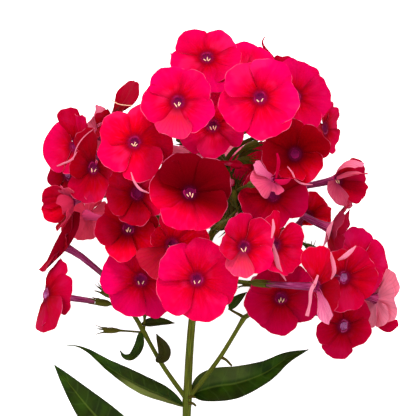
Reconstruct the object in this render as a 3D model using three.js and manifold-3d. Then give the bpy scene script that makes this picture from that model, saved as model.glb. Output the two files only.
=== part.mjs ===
// A cut flowering stem of garden phlox (Phlox paniculata) lying on a surface: a straight green
// stem with opposite leaves, side branches, and a rounded panicle of salver-shaped florets.
// Units are millimetres, +Z is up, and the surface that it lies on is z = 0.
import * as THREE from "three";
import { mergeVertices } from "three/addons/utils/BufferGeometryUtils.js";
import Module from "manifold-3d";

const wasm = await Module();
wasm.setup();

// ---------------------------------------------------------------- driving dimensions
const LEAN_DEG = 14.5; // the head lifts the stem off the surface, and its cut end touches it
const HEAD_HEIGHT = 43.5; // height of the plant's own origin, in the middle of the head
const HEAD_X = -3.7; // where that origin lies in the part's frame
const HEAD_Y = 44;

const PETALS = 5;
const PETAL_THICK = 0.7;
const THROAT_RADIUS = 1.3; // the mouth of the floret's tube
const THROAT_DEPTH = 4;
const COLLAR_RADIUS = 2.0; // outside of the tube right under the petals
const TUBE_TOP_RADIUS = 1.25;
const TUBE_FOOT_RADIUS = 0.95;
const TUBE_LENGTH = 25;
const PETAL_LIFT = 0.7; // each petal's leading edge lies over the next petal by this much
const PETAL_COLUMNS = [-1, -1 / 3, 1 / 3, 1]; // across one petal
const RIM_REACH = [0.84, 1, 1, 0.84]; // how far out the rim lies at each column
const WAIST = 0.42; // the petal's middle ring, as a share of its length
const SECTOR_DEG = 36; // half of one petal's share of the circle
const WAIST_HALF_DEG = 35.2;
const RIM_HALF_DEG = 43;

const CALYX_LENGTH = 7;
const CALYX_RADIUS = 1.75;
const PEDICEL_RADIUS = 0.75;
const SEAT_GAP = 0.3; // between a floret's tube and the calyx that holds it
const STEM_RADIUS = 2.1;
const BRANCH_RADIUS = 1.15;
const CYME_RADIUS = 2.0;
const LEAF_THICK = 0.8;

// ---------------------------------------------------------------- the plant's own axes
// u runs to the right across the plant, v along the stem from its cut end to the head, and w
// out of the upper side of the plant as it lies.
const lean = THREE.MathUtils.degToRad(LEAN_DEG);
const U_AXIS = new THREE.Vector3(1, 0, 0);
const V_AXIS = new THREE.Vector3(0, Math.cos(lean), Math.sin(lean));
const W_AXIS = new THREE.Vector3(0, -Math.sin(lean), Math.cos(lean));
const ORIGIN = new THREE.Vector3(HEAD_X, HEAD_Y, HEAD_HEIGHT);

function place([u, v, w]) {
  return ORIGIN.clone()
    .addScaledVector(U_AXIS, u)
    .addScaledVector(V_AXIS, v)
    .addScaledVector(W_AXIS, w);
}

function direction([u, v, w]) {
  return new THREE.Vector3()
    .addScaledVector(U_AXIS, u)
    .addScaledVector(V_AXIS, v)
    .addScaledVector(W_AXIS, w)
    .normalize();
}

// ---------------------------------------------------------------- the branching
const MAIN_STEM = [
  [-11.5, -165, 0],
  [-10.5, -130, 0],
  [-9.8, -94, 0],
  [-7.5, -57, 0],
  [-4, -33, 0],
  [3, -13.5, 2],
  [9, -5, 4],
  [14, 2, 5],
  [12.5, 10, 4],
  [8, 18, 2],
  [5, 25, 0],
  [4, 34, 0],
];

// Each branch runs through these points and ends at the cyme that its florets grow from.
const BRANCHES = {
  crown: [[6, 22, 1], [3, 30, 8], [1, 36, 14]],
  crown_right: [[8, 18, 2], [14, 25, 8], [24, 30, 12]],
  crown_left: [[8, 18, 2], [-3, 22, 8], [-14, 28, 18]],
  crown_back: [[5, 24, 0], [4, 30, -12]],
  right: [[14, 2, 5], [22, 2, 8], [31, 4, 10]],
  left: [[3, -13, 2], [-12, 2, 8], [-27, 13, 17]],
  far_left: [[-1, -22, 0], [-18, -12, 0], [-38, 2, -2]],
  centre: [[9, -5, 4], [4, -6, 14], [0, -6, 24]],
  lower_right: [[-9.8, -94, 0], [5, -74.7, 2], [17, -55, 4]],
  low_right_tip: [[17, -55, 4], [26, -50, 5], [38, -48.5, 3]],
  lower_left: [[-9.8, -94, 0], [-21, -78, 2], [-30, -62, 4]],
  low_left_tip: [[-30, -62, 4], [-34, -55, 4], [-38, -50, 3]],
  front_low: [[-3, -30, 0], [2, -33, 14], [8, -36, 30]],
  middle: [[9, -5, 4], [11, 0, 14], [11, 2, 25]],
  front_left: [[-3, -30, 0], [-12, -30, 8], [-18, -29, 14]],
  right_back: [[6, -9, 3], [22, -12, -4], [34, -12, -8]],
  left_back: [[1, -18, 0], [-12, -18, -8], [-24, -14, -12]],
  low_back: [[-3, -30, 0], [2, -30, -8], [6, -30, -12]],
  top_back: [[12, 10, 4], [8, 10, -8], [6, 12, -14]],
};

// Twigs that have shed their florets: the bare calyx at the tip of each has a wide middle.
const BARE_CALYCES = [
  [[-30, -62, 4], [-42, -61, 6], [-50, -61, 6]],
  [[-38, -50, 3], [-47, -45, 6], [-54.5, -41, 7]],
  [[38, -48.5, 3], [47, -34, 2], [48, -22, 2]],
  [[26, -50, 5], [23, -40, 8], [15, -39, 10]],
  [[8, 18, 2], [13, 19, 6], [20, 18.5, 8]],
];
const STUBS = [
  [[5, -74.7, 2], [10, -76.8, 3]],
  [[17, -55, 4], [9.5, -50.8, 5]],
];

// ---------------------------------------------------------------- the florets
// name, place of the throat (u, v, w), the way it faces (yaw to the right, pitch up the stem,
// in degrees), spin of its first petal, width across the petals, rise of the petals at the
// throat, and how far they curl forward on the way to the rim.
const FLORETS = [
  ["bloom_01", -0.5, 64.6, 30, 0, 26, 56, 33, 4, 4],
  ["bloom_02", -13.2, 43, 58, -4, 4, 42, 33, 4, 2],
  ["bloom_03", 23, 45, 56, 2, 2, 46, 36.5, 3, 2],
  ["bloom_04", 2.2, 33.4, 36, 0, -4, 59, 33, 4, 4],
  ["bloom_05", 19, 61, 28, -12, 36, 20, 31, 4, 4],
  ["bloom_06", 42, 47, 34, 32, 14, 0, 31, 2, -4],
  ["bloom_07", 39, 20.4, 44, 8, -6, 37, 33, 8, 6],
  ["bloom_08", 56.5, 33, 14, 78, 5, 30, 27, 2, 6],
  ["bloom_09", 57, 7, 10, 80, 14, 10, 37, 42, 14],
  ["bloom_10", 29, 8.8, 61, 40, 6, 66, 25, 6, 6],
  ["bloom_11", 30.5, 0, 36, 4, -10, 56, 32, 5, 4],
  ["bloom_12", -8, 3, 60, 0, -4, 30, 34, 4, 2],
  ["bloom_13", -32.7, 25.4, 50, -16, 4, 2, 36, 4, 2],
  ["bloom_14", -31.7, 2.7, 44, -12, -6, 52, 31, 5, 6],
  ["bloom_15", -62, 25.3, 9, -44, 8, 0, 32, 3, 4],
  ["bloom_16", -52.2, 14.5, 28, -40, -8, 30, 34, 4, 6],
  ["bloom_17", -65, 12, -7, -62, -14, 36, 27, 4, 6],
  ["bloom_18", -65.5, 2, 16, -60, -32, 20, 25, 42, 36],
  ["bloom_19", -54, -8, -14, -136, -30, 50, 27, 4, 6],
  ["bloom_20", -68, -21, 4, -74, 38, 24, 31, 2, 2],
  ["bloom_21", -75.5, -46, 10, -70, 0, 44, 35, -6, -36],
  ["bloom_22", -36.1, -13, 32, -20, -6, 39, 32, 3, 4],
  ["bloom_23", -16.2, -20.3, 39, 6, 4, 9, 34, 4, 2],
  ["bloom_24", -30.6, -36.6, 26, -6, -2, 20, 37.5, 4, 2],
  ["bloom_25", -5, -35.5, 53, 0, 0, 67, 37.5, 3, 2],
  ["bloom_26", 15.8, -21, 58, 24, 0, 32, 30, 8, 8],
  ["bloom_27", 30.5, -20.5, 37, 40, 0, 28, 31, 12, 12],
  ["bloom_28", 33.5, -45, 24, 2, -14, 51, 36, 3, 2],
  ["bloom_29", 49, -39, 44, 62, 0, 36, 34, 3, 4],
  ["bloom_30", 62, -36, 26, 26, -4, 58, 32, 3, 2],
  ["bloom_31", 70, -27.5, 3, 36, 12, 38, 33, 2, 0],
  ["bloom_32", 80, -48.5, -4, 116, -18, 40, 28, 4, 4],
  ["bloom_33", 63, -58, 12, 12, -16, 56, 31, 0, -8],
  ["bloom_34", 55, -13, 19, 66, 8, 10, 26, 14, 14],
  ["bloom_35", 47, -7, -9, 44, 30, 48, 25, 8, 12],
  ["bloom_36", -43.5, 45, 8, -72, 38, 32, 29, 4, 4],
  ["bloom_37", -52, 35, -14, -110, 24, 14, 28, 4, 6],
];

// Florets round the far side of the head, in the same terms.
const FAR_FLORETS = [
  ["bloom_38", -6, 68, 0, -8, 80, 20, 25, 4, 4],
  ["bloom_39", 29, 63, 12, 12, 54, 20, 26, 6, 4],
  ["bloom_40", 44, 53, 2, 46, 52, 12, 30, 2, 4],
  ["bloom_41", -22, 23, 24, -88, 4, 56, 18, 3, 4],
  ["bloom_42", 54, 24, -20, 110, 10, 38, 30, 2, 4],
  ["bloom_43", -58, 12, -29, -114, 0, 26, 30, 3, 4],
  ["bloom_44", 75, -31, -16, 114, -8, 50, 24, 2, 4],
];

// Florets on the underside, which the weight of the head presses flat on the surface: name,
// x, y, spin and width.
const UNDER_FLORETS = [
  ["bloom_45", -46, 71, 20, 32],
  ["bloom_46", -2, 85, 48, 33],
  ["bloom_47", 30, 71, 10, 32],
  ["bloom_48", -22, 45, 34, 32],
  ["bloom_49", 20, 39, 62, 32],
  ["bloom_50", 62, 17, 26, 31],
  ["bloom_51", -35, 15, 54, 31],
  ["bloom_52", 30, 7, 16, 31],
];

// Florets whose petals aren't alike: the length, the breadth and the extra rise of each petal.
const ODD_PETALS = {
  bloom_10: [[1.05, 0.5, 0], [1.1, 0.6, 0], [1.15, 0.9, 0], [0.65, 0.9, 0], [0.9, 0.6, 0]],
  bloom_33: [[1, 0.84, 0], [1, 0.84, 0], [1, 0.8, 0], [1.15, 0.84, 0], [0.8, 0.84, 0]],
  bloom_39: [[1, 1, 0], [1.1, 0.3, 50], [1, 1, 0], [1, 1, 0], [1, 1, 0]],
};
const EVEN_PETAL = [1, 1, 0];

// ---------------------------------------------------------------- helpers
// A number from 0 to 1 that is always the same for the same seed.
function chance(seed) {
  const x = Math.sin(seed * 12.9898) * 43758.5453;
  return x - Math.floor(x);
}

function solidOf(positions, triangles) {
  const raw = new THREE.BufferGeometry();
  raw.setAttribute("position", new THREE.Float32BufferAttribute(positions.flatMap((p) => p.toArray()), 3));
  raw.setIndex(triangles.flat());
  const merged = mergeVertices(raw, 1e-4);
  return new wasm.Manifold(
    new wasm.Mesh({
      numProp: 3,
      vertProperties: merged.attributes.position.array,
      triVerts: new Uint32Array(merged.index.array),
    }),
  );
}

function geometryOf(solid) {
  const mesh = solid.getMesh();
  const geometry = new THREE.BufferGeometry();
  geometry.setAttribute("position", new THREE.BufferAttribute(new Float32Array(mesh.vertProperties), 3));
  geometry.setIndex(new THREE.BufferAttribute(new Uint32Array(mesh.triVerts), 1));
  geometry.computeVertexNormals();
  return geometry;
}

// Two directions square to a tangent, turned as little as possible from the last pair.
function squareTo(tangent, lastSide) {
  const side = lastSide.clone().addScaledVector(tangent, -lastSide.dot(tangent)).normalize();
  return [side, new THREE.Vector3().crossVectors(tangent, side)];
}

function firstSide(tangent) {
  const helper = Math.abs(tangent.z) < 0.8 ? new THREE.Vector3(0, 0, 1) : new THREE.Vector3(1, 0, 0);
  return helper.addScaledVector(tangent, -helper.dot(tangent)).normalize();
}

// A closed round rod through the points, with a radius at each of them.
function rod(points, radii, sides) {
  const positions = [];
  const triangles = [];
  let side = null;
  points.forEach((point, i) => {
    const before = points[Math.max(i - 1, 0)];
    const after = points[Math.min(i + 1, points.length - 1)];
    const tangent = after.clone().sub(before).normalize();
    const [a, b] = squareTo(tangent, side ?? firstSide(tangent));
    side = a;
    for (let k = 0; k < sides; k += 1) {
      const turn = (2 * Math.PI * k) / sides;
      positions.push(
        point
          .clone()
          .addScaledVector(a, radii[i] * Math.cos(turn))
          .addScaledVector(b, radii[i] * Math.sin(turn)),
      );
    }
  });
  const at = (ring, k) => ring * sides + (k % sides);
  for (let ring = 0; ring + 1 < points.length; ring += 1) {
    for (let k = 0; k < sides; k += 1) {
      triangles.push([at(ring, k), at(ring, k + 1), at(ring + 1, k + 1)]);
      triangles.push([at(ring, k), at(ring + 1, k + 1), at(ring + 1, k)]);
    }
  }
  const last = points.length - 1;
  for (let k = 1; k + 1 < sides; k += 1) {
    triangles.push([at(0, 0), at(0, k + 1), at(0, k)]);
    triangles.push([at(last, 0), at(last, k), at(last, k + 1)]);
  }
  return solidOf(positions, triangles);
}

// ---------------------------------------------------------------- one floret
function facingOf(yawDeg, pitchDeg) {
  const yaw = THREE.MathUtils.degToRad(yawDeg);
  const pitch = THREE.MathUtils.degToRad(pitchDeg);
  return {
    out: direction([Math.sin(yaw) * Math.cos(pitch), Math.sin(pitch), Math.cos(yaw) * Math.cos(pitch)]),
    right: direction([Math.cos(yaw), 0, -Math.sin(yaw)]),
  };
}

function plannedFloret([name, u, v, w, yaw, pitch, spin, width, rise, curl], index) {
  return {
    name,
    index,
    throat: place([u, v, w]),
    ...facingOf(yaw, pitch),
    spin,
    width,
    rise,
    curl,
    sway: 1,
    lift: PETAL_LIFT,
    rimHalf: RIM_HALF_DEG,
    petals: ODD_PETALS[name] ?? Array(PETALS).fill(EVEN_PETAL),
  };
}

// A pressed floret lies face down, with its petals side by side and flat on the surface.
function pressedFloret([name, x, y, spin, width], index) {
  return {
    name,
    index,
    throat: new THREE.Vector3(x, y, PETAL_THICK / 2),
    out: new THREE.Vector3(0, 0, -1),
    right: new THREE.Vector3(-1, 0, 0),
    spin,
    width,
    rise: 0,
    curl: 0,
    sway: 0,
    lift: 0,
    rimHalf: 34,
    petals: Array(PETALS).fill(EVEN_PETAL),
  };
}

// The surface that a floret's petals lie on: how far out, how high and how steep it is at a
// share s of the petal's length and an angle round the floret.
function limbSurface(floret, petal, s, angle) {
  const [size, , extraRise] = floret.petals[petal];
  const length = (floret.width / 2 - THROAT_RADIUS) * size;
  const sway =
    floret.sway *
    (5 * Math.cos(angle - 6.28 * chance(floret.index + 0.1)) +
      4 * Math.cos(2 * angle - 6.28 * chance(floret.index + 0.2)));
  const rise = THREE.MathUtils.degToRad(floret.rise + sway + extraRise);
  const curl = THREE.MathUtils.degToRad(floret.curl);
  const steps = 8;
  let reach = THROAT_RADIUS;
  let height = 0;
  for (let i = 0; i < steps; i += 1) {
    const slope = rise + (curl * s * (i + 0.5)) / steps;
    reach += (length * s * Math.cos(slope)) / steps;
    height += (length * s * Math.sin(slope)) / steps;
  }
  return { reach, height, slope: rise + curl * s };
}

// A point of one petal, offset from its middle surface along its own normal.
function petalPoint(floret, petal, s, across, halfDeg, offset) {
  const spread = floret.petals[petal][1];
  const breadth = s <= WAIST ? Math.min(1, spread + 0.15) : spread;
  const centre = floret.spin + (360 / PETALS) * petal;
  const angle = THREE.MathUtils.degToRad(centre + across * halfDeg * breadth);
  const { reach, height, slope } = limbSurface(floret, petal, s, angle);
  const above = offset + floret.lift * across * Math.min(1, s / WAIST);
  const up = new THREE.Vector3().crossVectors(floret.out, floret.right);
  const spoke = floret.right
    .clone()
    .multiplyScalar(Math.cos(angle))
    .addScaledVector(up, Math.sin(angle));
  return floret.throat
    .clone()
    .addScaledVector(spoke, reach - above * Math.sin(slope))
    .addScaledVector(floret.out, height + above * Math.cos(slope));
}

function ringPoint(floret, angleDeg, radius, height) {
  const angle = THREE.MathUtils.degToRad(floret.spin + angleDeg);
  const up = new THREE.Vector3().crossVectors(floret.out, floret.right);
  return floret.throat
    .clone()
    .addScaledVector(floret.right, radius * Math.cos(angle))
    .addScaledVector(up, radius * Math.sin(angle))
    .addScaledVector(floret.out, height);
}

// The curve from the cyme to the floret's throat, which it meets square to the petals.
function stalkOf(floret, cyme) {
  const span = floret.throat.distanceTo(cyme);
  const bend = floret.throat.clone().addScaledVector(floret.out, -0.62 * span);
  return new THREE.QuadraticBezierCurve3(cyme, bend, floret.throat);
}

function floretSolid(floret) {
  const positions = [];
  const triangles = [];
  const columns = PETAL_COLUMNS.length;
  const add = (point) => positions.push(point) - 1;
  // The ring round the throat, shared by neighbouring petals.
  const ringCount = PETALS * (columns - 1);
  const mouth = [];
  const collar = [];
  for (let i = 0; i < ringCount; i += 1) {
    const angle = -SECTOR_DEG + (2 * SECTOR_DEG * i) / (columns - 1);
    mouth.push(add(ringPoint(floret, angle, THROAT_RADIUS, 0.25)));
    collar.push(add(ringPoint(floret, angle, COLLAR_RADIUS, -0.55)));
  }
  for (let petal = 0; petal < PETALS; petal += 1) {
    const ringAt = (c) => (petal * (columns - 1) + c) % ringCount;
    const rows = { face: [[], [], []], back: [[], [], []] };
    PETAL_COLUMNS.forEach((across, c) => {
      rows.face[0].push(mouth[ringAt(c)]);
      rows.back[0].push(collar[ringAt(c)]);
      [
        [WAIST, WAIST_HALF_DEG],
        [RIM_REACH[c], floret.rimHalf],
      ].forEach(([s, half], r) => {
        rows.face[r + 1].push(add(petalPoint(floret, petal, s, across, half, PETAL_THICK / 2)));
        rows.back[r + 1].push(add(petalPoint(floret, petal, s, across, half, -PETAL_THICK / 2)));
      });
    });
    for (let r = 0; r < 2; r += 1) {
      const [f0, f1, b0, b1] = [rows.face[r], rows.face[r + 1], rows.back[r], rows.back[r + 1]];
      for (let c = 0; c + 1 < columns; c += 1) {
        triangles.push([f0[c], f1[c], f1[c + 1]], [f0[c], f1[c + 1], f0[c + 1]]);
        triangles.push([b0[c], b1[c + 1], b1[c]], [b0[c], b0[c + 1], b1[c + 1]]);
      }
      const end = columns - 1;
      triangles.push([f0[0], b1[0], f1[0]], [f0[0], b0[0], b1[0]]);
      triangles.push([f0[end], f1[end], b1[end]], [f0[end], b1[end], b0[end]]);
    }
    const [f, b] = [rows.face[2], rows.back[2]];
    for (let c = 0; c + 1 < columns; c += 1) {
      triangles.push([f[c], b[c], b[c + 1]], [f[c], b[c + 1], f[c + 1]]);
    }
  }
  // The throat is a small open funnel.
  const pit = add(ringPoint(floret, 0, 0, -THROAT_DEPTH));
  for (let i = 0; i < ringCount; i += 1) {
    triangles.push([mouth[i], mouth[(i + 1) % ringCount], pit]);
  }
  // The tube goes back along the stalk to the calyx.
  const stalk = floret.stalk;
  const whole = stalk.getLength();
  const rings = [3, floret.tubeLength - SEAT_GAP].map((back, i) => {
    const share = 1 - back / whole;
    const centre = stalk.getPointAt(share);
    const tangent = stalk.getTangentAt(share);
    const radius = i === 0 ? TUBE_TOP_RADIUS : TUBE_FOOT_RADIUS;
    const [a, b] = squareTo(tangent, floret.right);
    const ring = [];
    for (let k = 0; k < PETALS; k += 1) {
      const angle = THREE.MathUtils.degToRad(floret.spin - SECTOR_DEG + (360 / PETALS) * k);
      const spot = centre.clone().addScaledVector(a, radius * Math.cos(angle));
      ring.push(add(spot.addScaledVector(b, radius * Math.sin(angle))));
    }
    return ring;
  });
  const step = columns - 1;
  for (let k = 0; k < PETALS; k += 1) {
    const next = (k + 1) % PETALS;
    const spokes = [0, 1, 2, 3].map((c) => collar[(k * step + c) % ringCount]);
    triangles.push([spokes[1], spokes[0], rings[0][k]], [spokes[2], spokes[1], rings[0][k]]);
    triangles.push([spokes[2], rings[0][k], rings[0][next]], [spokes[3], spokes[2], rings[0][next]]);
    triangles.push([rings[0][k], rings[1][k], rings[1][next]]);
    triangles.push([rings[0][k], rings[1][next], rings[0][next]]);
  }
  for (let k = 1; k + 1 < PETALS; k += 1) {
    triangles.push([rings[1][0], rings[1][k + 1], rings[1][k]]);
  }
  return solidOf(positions, triangles);
}

// ---------------------------------------------------------------- leaves
// A thin arched blade: its middle line is a curve from base to tip, its upper side turns
// towards `faces`, and it is folded up along the midrib and waved at its edges. The smaller
// `broadest` is, the nearer the base its widest place lies; `pointed` draws out its ends.
function bladeSolid({ line, faces, width, broadest, pointed, fold, wave, segments, columns }) {
  const curve = new THREE.CatmullRomCurve3(line.map(place));
  const upper = direction(faces);
  const rows = [];
  for (let i = 0; i <= segments; i += 1) {
    const s = i / segments;
    const centre = curve.getPointAt(s);
    const tangent = curve.getTangentAt(s);
    const side = new THREE.Vector3().crossVectors(tangent, upper).normalize();
    const normal = new THREE.Vector3().crossVectors(side, tangent).normalize();
    const grown = Math.max(0, Math.sin(Math.PI * s ** broadest)) ** pointed;
    const half = Math.max((width / 2) * grown, 0.08 * width * (1 - s), 0.35);
    const row = { face: [], back: [] };
    for (let c = 0; c < columns; c += 1) {
      const across = -1 + (2 * c) / (columns - 1);
      const lift = Math.abs(across) * half * Math.sin(THREE.MathUtils.degToRad(fold));
      const ripple = wave * across * Math.abs(across) * Math.sin(9 * s + 2 * across) * grown;
      const middle = centre
        .clone()
        .addScaledVector(side, across * half * Math.cos(THREE.MathUtils.degToRad(fold)))
        .addScaledVector(normal, lift + ripple);
      row.face.push(middle.clone().addScaledVector(normal, LEAF_THICK / 2));
      row.back.push(middle.clone().addScaledVector(normal, -LEAF_THICK / 2));
    }
    rows.push(row);
  }
  // A blade that reaches the surface lies flat on it.
  rows.forEach(({ face, back }) => {
    face.forEach((point, c) => {
      if (back[c].z < 0) {
        point.z = LEAF_THICK;
        back[c].z = 0;
      }
    });
  });
  const positions = [];
  const triangles = [];
  rows.forEach(({ face, back }) => positions.push(...face, ...back));
  const face = (i, c) => i * 2 * columns + c;
  const back = (i, c) => face(i, c) + columns;
  for (let i = 0; i < segments; i += 1) {
    for (let c = 0; c + 1 < columns; c += 1) {
      triangles.push([face(i, c), face(i, c + 1), face(i + 1, c + 1)]);
      triangles.push([face(i, c), face(i + 1, c + 1), face(i + 1, c)]);
      triangles.push([back(i, c), back(i + 1, c + 1), back(i, c + 1)]);
      triangles.push([back(i, c), back(i + 1, c), back(i + 1, c + 1)]);
    }
    const end = columns - 1;
    triangles.push([face(i, 0), face(i + 1, 0), back(i + 1, 0)]);
    triangles.push([face(i, 0), back(i + 1, 0), back(i, 0)]);
    triangles.push([face(i, end), back(i + 1, end), face(i + 1, end)]);
    triangles.push([face(i, end), back(i, end), back(i + 1, end)]);
  }
  for (let c = 0; c + 1 < columns; c += 1) {
    triangles.push([face(0, c), back(0, c + 1), face(0, c + 1)], [face(0, c), back(0, c), back(0, c + 1)]);
    const n = segments;
    triangles.push([face(n, c), face(n, c + 1), back(n, c + 1)], [face(n, c), back(n, c + 1), back(n, c)]);
  }
  return solidOf(positions, triangles);
}

const LEAVES = {
  leaf_upper_left: {
    line: [[-12.6, -96, 0], [-32, -86.5, 4], [-47, -78, 7], [-58, -70, 9], [-66, -68, 9]],
    faces: [0.3, 0.62, 0.72],
    width: 12,
    broadest: 0.55,
    pointed: 1.5,
    fold: 24,
    wave: 0.4,
  },
  leaf_upper_right: {
    line: [[-7.4, -91.2, -1.6], [9, -85.5, -3.5], [26, -79.5, 2], [38, -74.5, 5], [47, -69.7, 6]],
    faces: [-0.1, 0.35, 0.93],
    width: 18,
    broadest: 0.5,
    pointed: 0.9,
    fold: 12,
    wave: 0.7,
  },
  leaf_lower_left: {
    line: [[-13.6, -134, 0], [-32, -121, 8], [-54, -98, 13], [-71, -76.5, 15]],
    faces: [0.3, 0.25, 0.92],
    width: 21,
    broadest: 0.72,
    pointed: 0.85,
    fold: 8,
    wave: 0.8,
  },
  leaf_lower_right: {
    line: [[-7.4, -134, 0], [6, -140, -3], [32, -142, -5], [58, -134, -7]],
    faces: [0.05, -0.25, 0.96],
    width: 21,
    broadest: 0.72,
    pointed: 0.85,
    fold: 0,
    wave: 0.4,
  },
};

// Small leaves on the side branches.
const BRACT_FORM = { broadest: 0.72, pointed: 0.85, fold: 14, wave: 0.2, segments: 3, columns: 3 };
const BRACTS = [
  { line: [[-31, -58, 4], [-24, -57, 6], [-15.5, -57.5, 7]], faces: [0, 0.5, 0.86], width: 5 },
  { line: [[-24, -74, 3], [-21, -71, 6], [-24, -61, 8]], faces: [0.5, 0, 0.86], width: 6.5 },
  { line: [[-31, -61, 4], [-33, -67, 6], [-38, -74, 6]], faces: [-0.4, 0.3, 0.86], width: 6 },
  { line: [[10, -51, 5], [13, -47, 7], [18, -43, 8]], faces: [-0.3, -0.3, 0.9], width: 4.5 },
];

// ---------------------------------------------------------------- assembly
const florets = [
  ...FLORETS.map(plannedFloret),
  ...FAR_FLORETS.map((row, i) => plannedFloret(row, FLORETS.length + i)),
  ...UNDER_FLORETS.map((row, i) => pressedFloret(row, FLORETS.length + FAR_FLORETS.length + i)),
];

const CYMES = Object.values(BRANCHES).map((points) => place(points[points.length - 1]));

// A floret grows from the cyme that lies behind it at about the length of a stalk.
const IDEAL_SPAN = 33;
function cymeFor(floret) {
  const cost = (cyme) => {
    const reach = floret.throat.clone().sub(cyme);
    const span = reach.length();
    return Math.abs(span - IDEAL_SPAN) + 22 * (1 - reach.dot(floret.out) / span);
  };
  return CYMES.reduce((best, cyme) => (cost(cyme) < cost(best) ? cyme : best));
}

florets.forEach((floret) => {
  floret.cyme = cymeFor(floret);
  floret.stalk = stalkOf(floret, floret.cyme);
  const whole = floret.stalk.getLength();
  floret.tubeLength = Math.min(TUBE_LENGTH, 0.62 * whole);
});

// Pedicel and calyx of one floret.
function calyxSolid(floret) {
  const whole = floret.stalk.getLength();
  const mouth = 1 - floret.tubeLength / whole;
  const base = Math.max(0.12, mouth - CALYX_LENGTH / whole);
  const shares = [0, base, mouth];
  const radii = [PEDICEL_RADIUS, 1.3 * PEDICEL_RADIUS, CALYX_RADIUS];
  return rod(shares.map((share) => floret.stalk.getPointAt(share)), radii, 4);
}

function knob(centre) {
  const shape = new THREE.OctahedronGeometry(CYME_RADIUS).translate(centre.x, centre.y, centre.z);
  const merged = mergeVertices(new THREE.BufferGeometry().setAttribute("position", shape.attributes.position));
  return new wasm.Manifold(
    new wasm.Mesh({
      numProp: 3,
      vertProperties: merged.attributes.position.array,
      triVerts: new Uint32Array(merged.index.array),
    }),
  );
}

function greenSolid() {
  const taper = (i) => STEM_RADIUS * (1 - 0.45 * (i / (MAIN_STEM.length - 1)) ** 2);
  const parts = [rod(MAIN_STEM.map(place), MAIN_STEM.map((_, i) => taper(i)), 8)];
  Object.values(BRANCHES).forEach((points) => {
    const curve = new THREE.CatmullRomCurve3(points.map(place));
    parts.push(rod(curve.getSpacedPoints(2), [1.25, 1.1, 1].map((k) => k * BRANCH_RADIUS), 5));
  });
  BARE_CALYCES.forEach((points) => {
    const curve = new THREE.CatmullRomCurve3(points.map(place));
    parts.push(rod(curve.getSpacedPoints(3), [0.7, 0.8, 1.7, 0.9], 4));
  });
  STUBS.forEach((points) => parts.push(rod(points.map(place), [0.8, 0.5], 4)));
  CYMES.forEach((cyme) => parts.push(knob(cyme)));
  florets.forEach((floret) => parts.push(calyxSolid(floret)));
  BRACTS.forEach((bract) =>
    parts.push(bladeSolid({ ...BRACT_FORM, ...bract })),
  );
  return wasm.Manifold.union(parts);
}

const PETAL_FINISH = new THREE.MeshStandardMaterial({ color: 0xe0063f, roughness: 0.6, metalness: 0 });
const STEM_FINISH = new THREE.MeshStandardMaterial({ color: 0x5c7a1e, roughness: 0.55, metalness: 0 });
const LEAF_FINISH = new THREE.MeshStandardMaterial({ color: 0x27520f, roughness: 0.5, metalness: 0 });

const phlox = new THREE.Group();
function show(name, solid, finish) {
  const mesh = new THREE.Mesh(geometryOf(solid), finish);
  mesh.name = name;
  phlox.add(mesh);
}

show("stem_and_calyces", greenSolid(), STEM_FINISH);
Object.entries(LEAVES).forEach(([name, leaf]) => {
  show(name, bladeSolid({ ...leaf, segments: 9, columns: 5 }), LEAF_FINISH);
});
florets.forEach((floret) => show(floret.name, floretSolid(floret), PETAL_FINISH));

export default phlox;
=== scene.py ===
"""A cut flowering stem of garden phlox lying on a pale floor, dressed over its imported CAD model.

Sizes are written in millimetres and turned into metres where a mesh is made. The plant has its
own axes: u runs to the right across it, v along the stem from its cut end to the head, and w out
of its upper side. Every floret, leaf and branch follows the same line as its CAD solid, and is
made of finer, thinner surfaces.
"""

import math

import bmesh
import bpy
import numpy as np
from mathutils import Matrix, Vector


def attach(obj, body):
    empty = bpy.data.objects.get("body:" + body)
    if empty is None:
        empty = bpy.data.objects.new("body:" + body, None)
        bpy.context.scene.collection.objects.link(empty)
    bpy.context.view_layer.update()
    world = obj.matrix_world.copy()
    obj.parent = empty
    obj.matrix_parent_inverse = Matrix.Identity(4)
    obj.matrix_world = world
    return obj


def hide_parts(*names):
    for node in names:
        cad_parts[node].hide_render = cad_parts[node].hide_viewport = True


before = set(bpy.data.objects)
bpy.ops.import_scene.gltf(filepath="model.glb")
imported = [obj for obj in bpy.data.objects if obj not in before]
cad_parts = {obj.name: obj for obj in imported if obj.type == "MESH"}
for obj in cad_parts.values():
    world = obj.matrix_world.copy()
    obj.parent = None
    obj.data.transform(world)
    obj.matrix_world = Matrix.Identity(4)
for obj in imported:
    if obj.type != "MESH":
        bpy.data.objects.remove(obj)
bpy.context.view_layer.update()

MM = 0.001
BODY = "root"

# ---- the plant's axes
LEAN = math.radians(14.5)
U_AXIS = np.array([1.0, 0.0, 0.0])
V_AXIS = np.array([0.0, math.cos(LEAN), math.sin(LEAN)])
W_AXIS = np.array([0.0, -math.sin(LEAN), math.cos(LEAN)])
ORIGIN = np.array([-3.7, 44.0, 43.5])


def place(spot):
    u, v, w = spot
    return ORIGIN + u * U_AXIS + v * V_AXIS + w * W_AXIS


def unit(vector):
    return vector / np.linalg.norm(vector)


def direction(u, v, w):
    return unit(u * U_AXIS + v * V_AXIS + w * W_AXIS)


def chance(seed):
    """A number from 0 to 1 that is always the same for the same seed. The odd factors scatter it."""
    x = math.sin(seed * 12.9898) * 43758.5453
    return x - math.floor(x)


# ---- the branching
MAIN_STEM = [
    (-11.5, -165, 0),
    (-10.5, -130, 0),
    (-9.8, -94, 0),
    (-7.5, -57, 0),
    (-4, -33, 0),
    (3, -13.5, 2),
    (9, -5, 4),
    (14, 2, 5),
    (12.5, 10, 4),
    (8, 18, 2),
    (5, 25, 0),
    (4, 34, 0),
]
STEM_RADIUS = 2.1
LEAF_NODES = (-134, -94)  # places along the stem where two leaves grow

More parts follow.
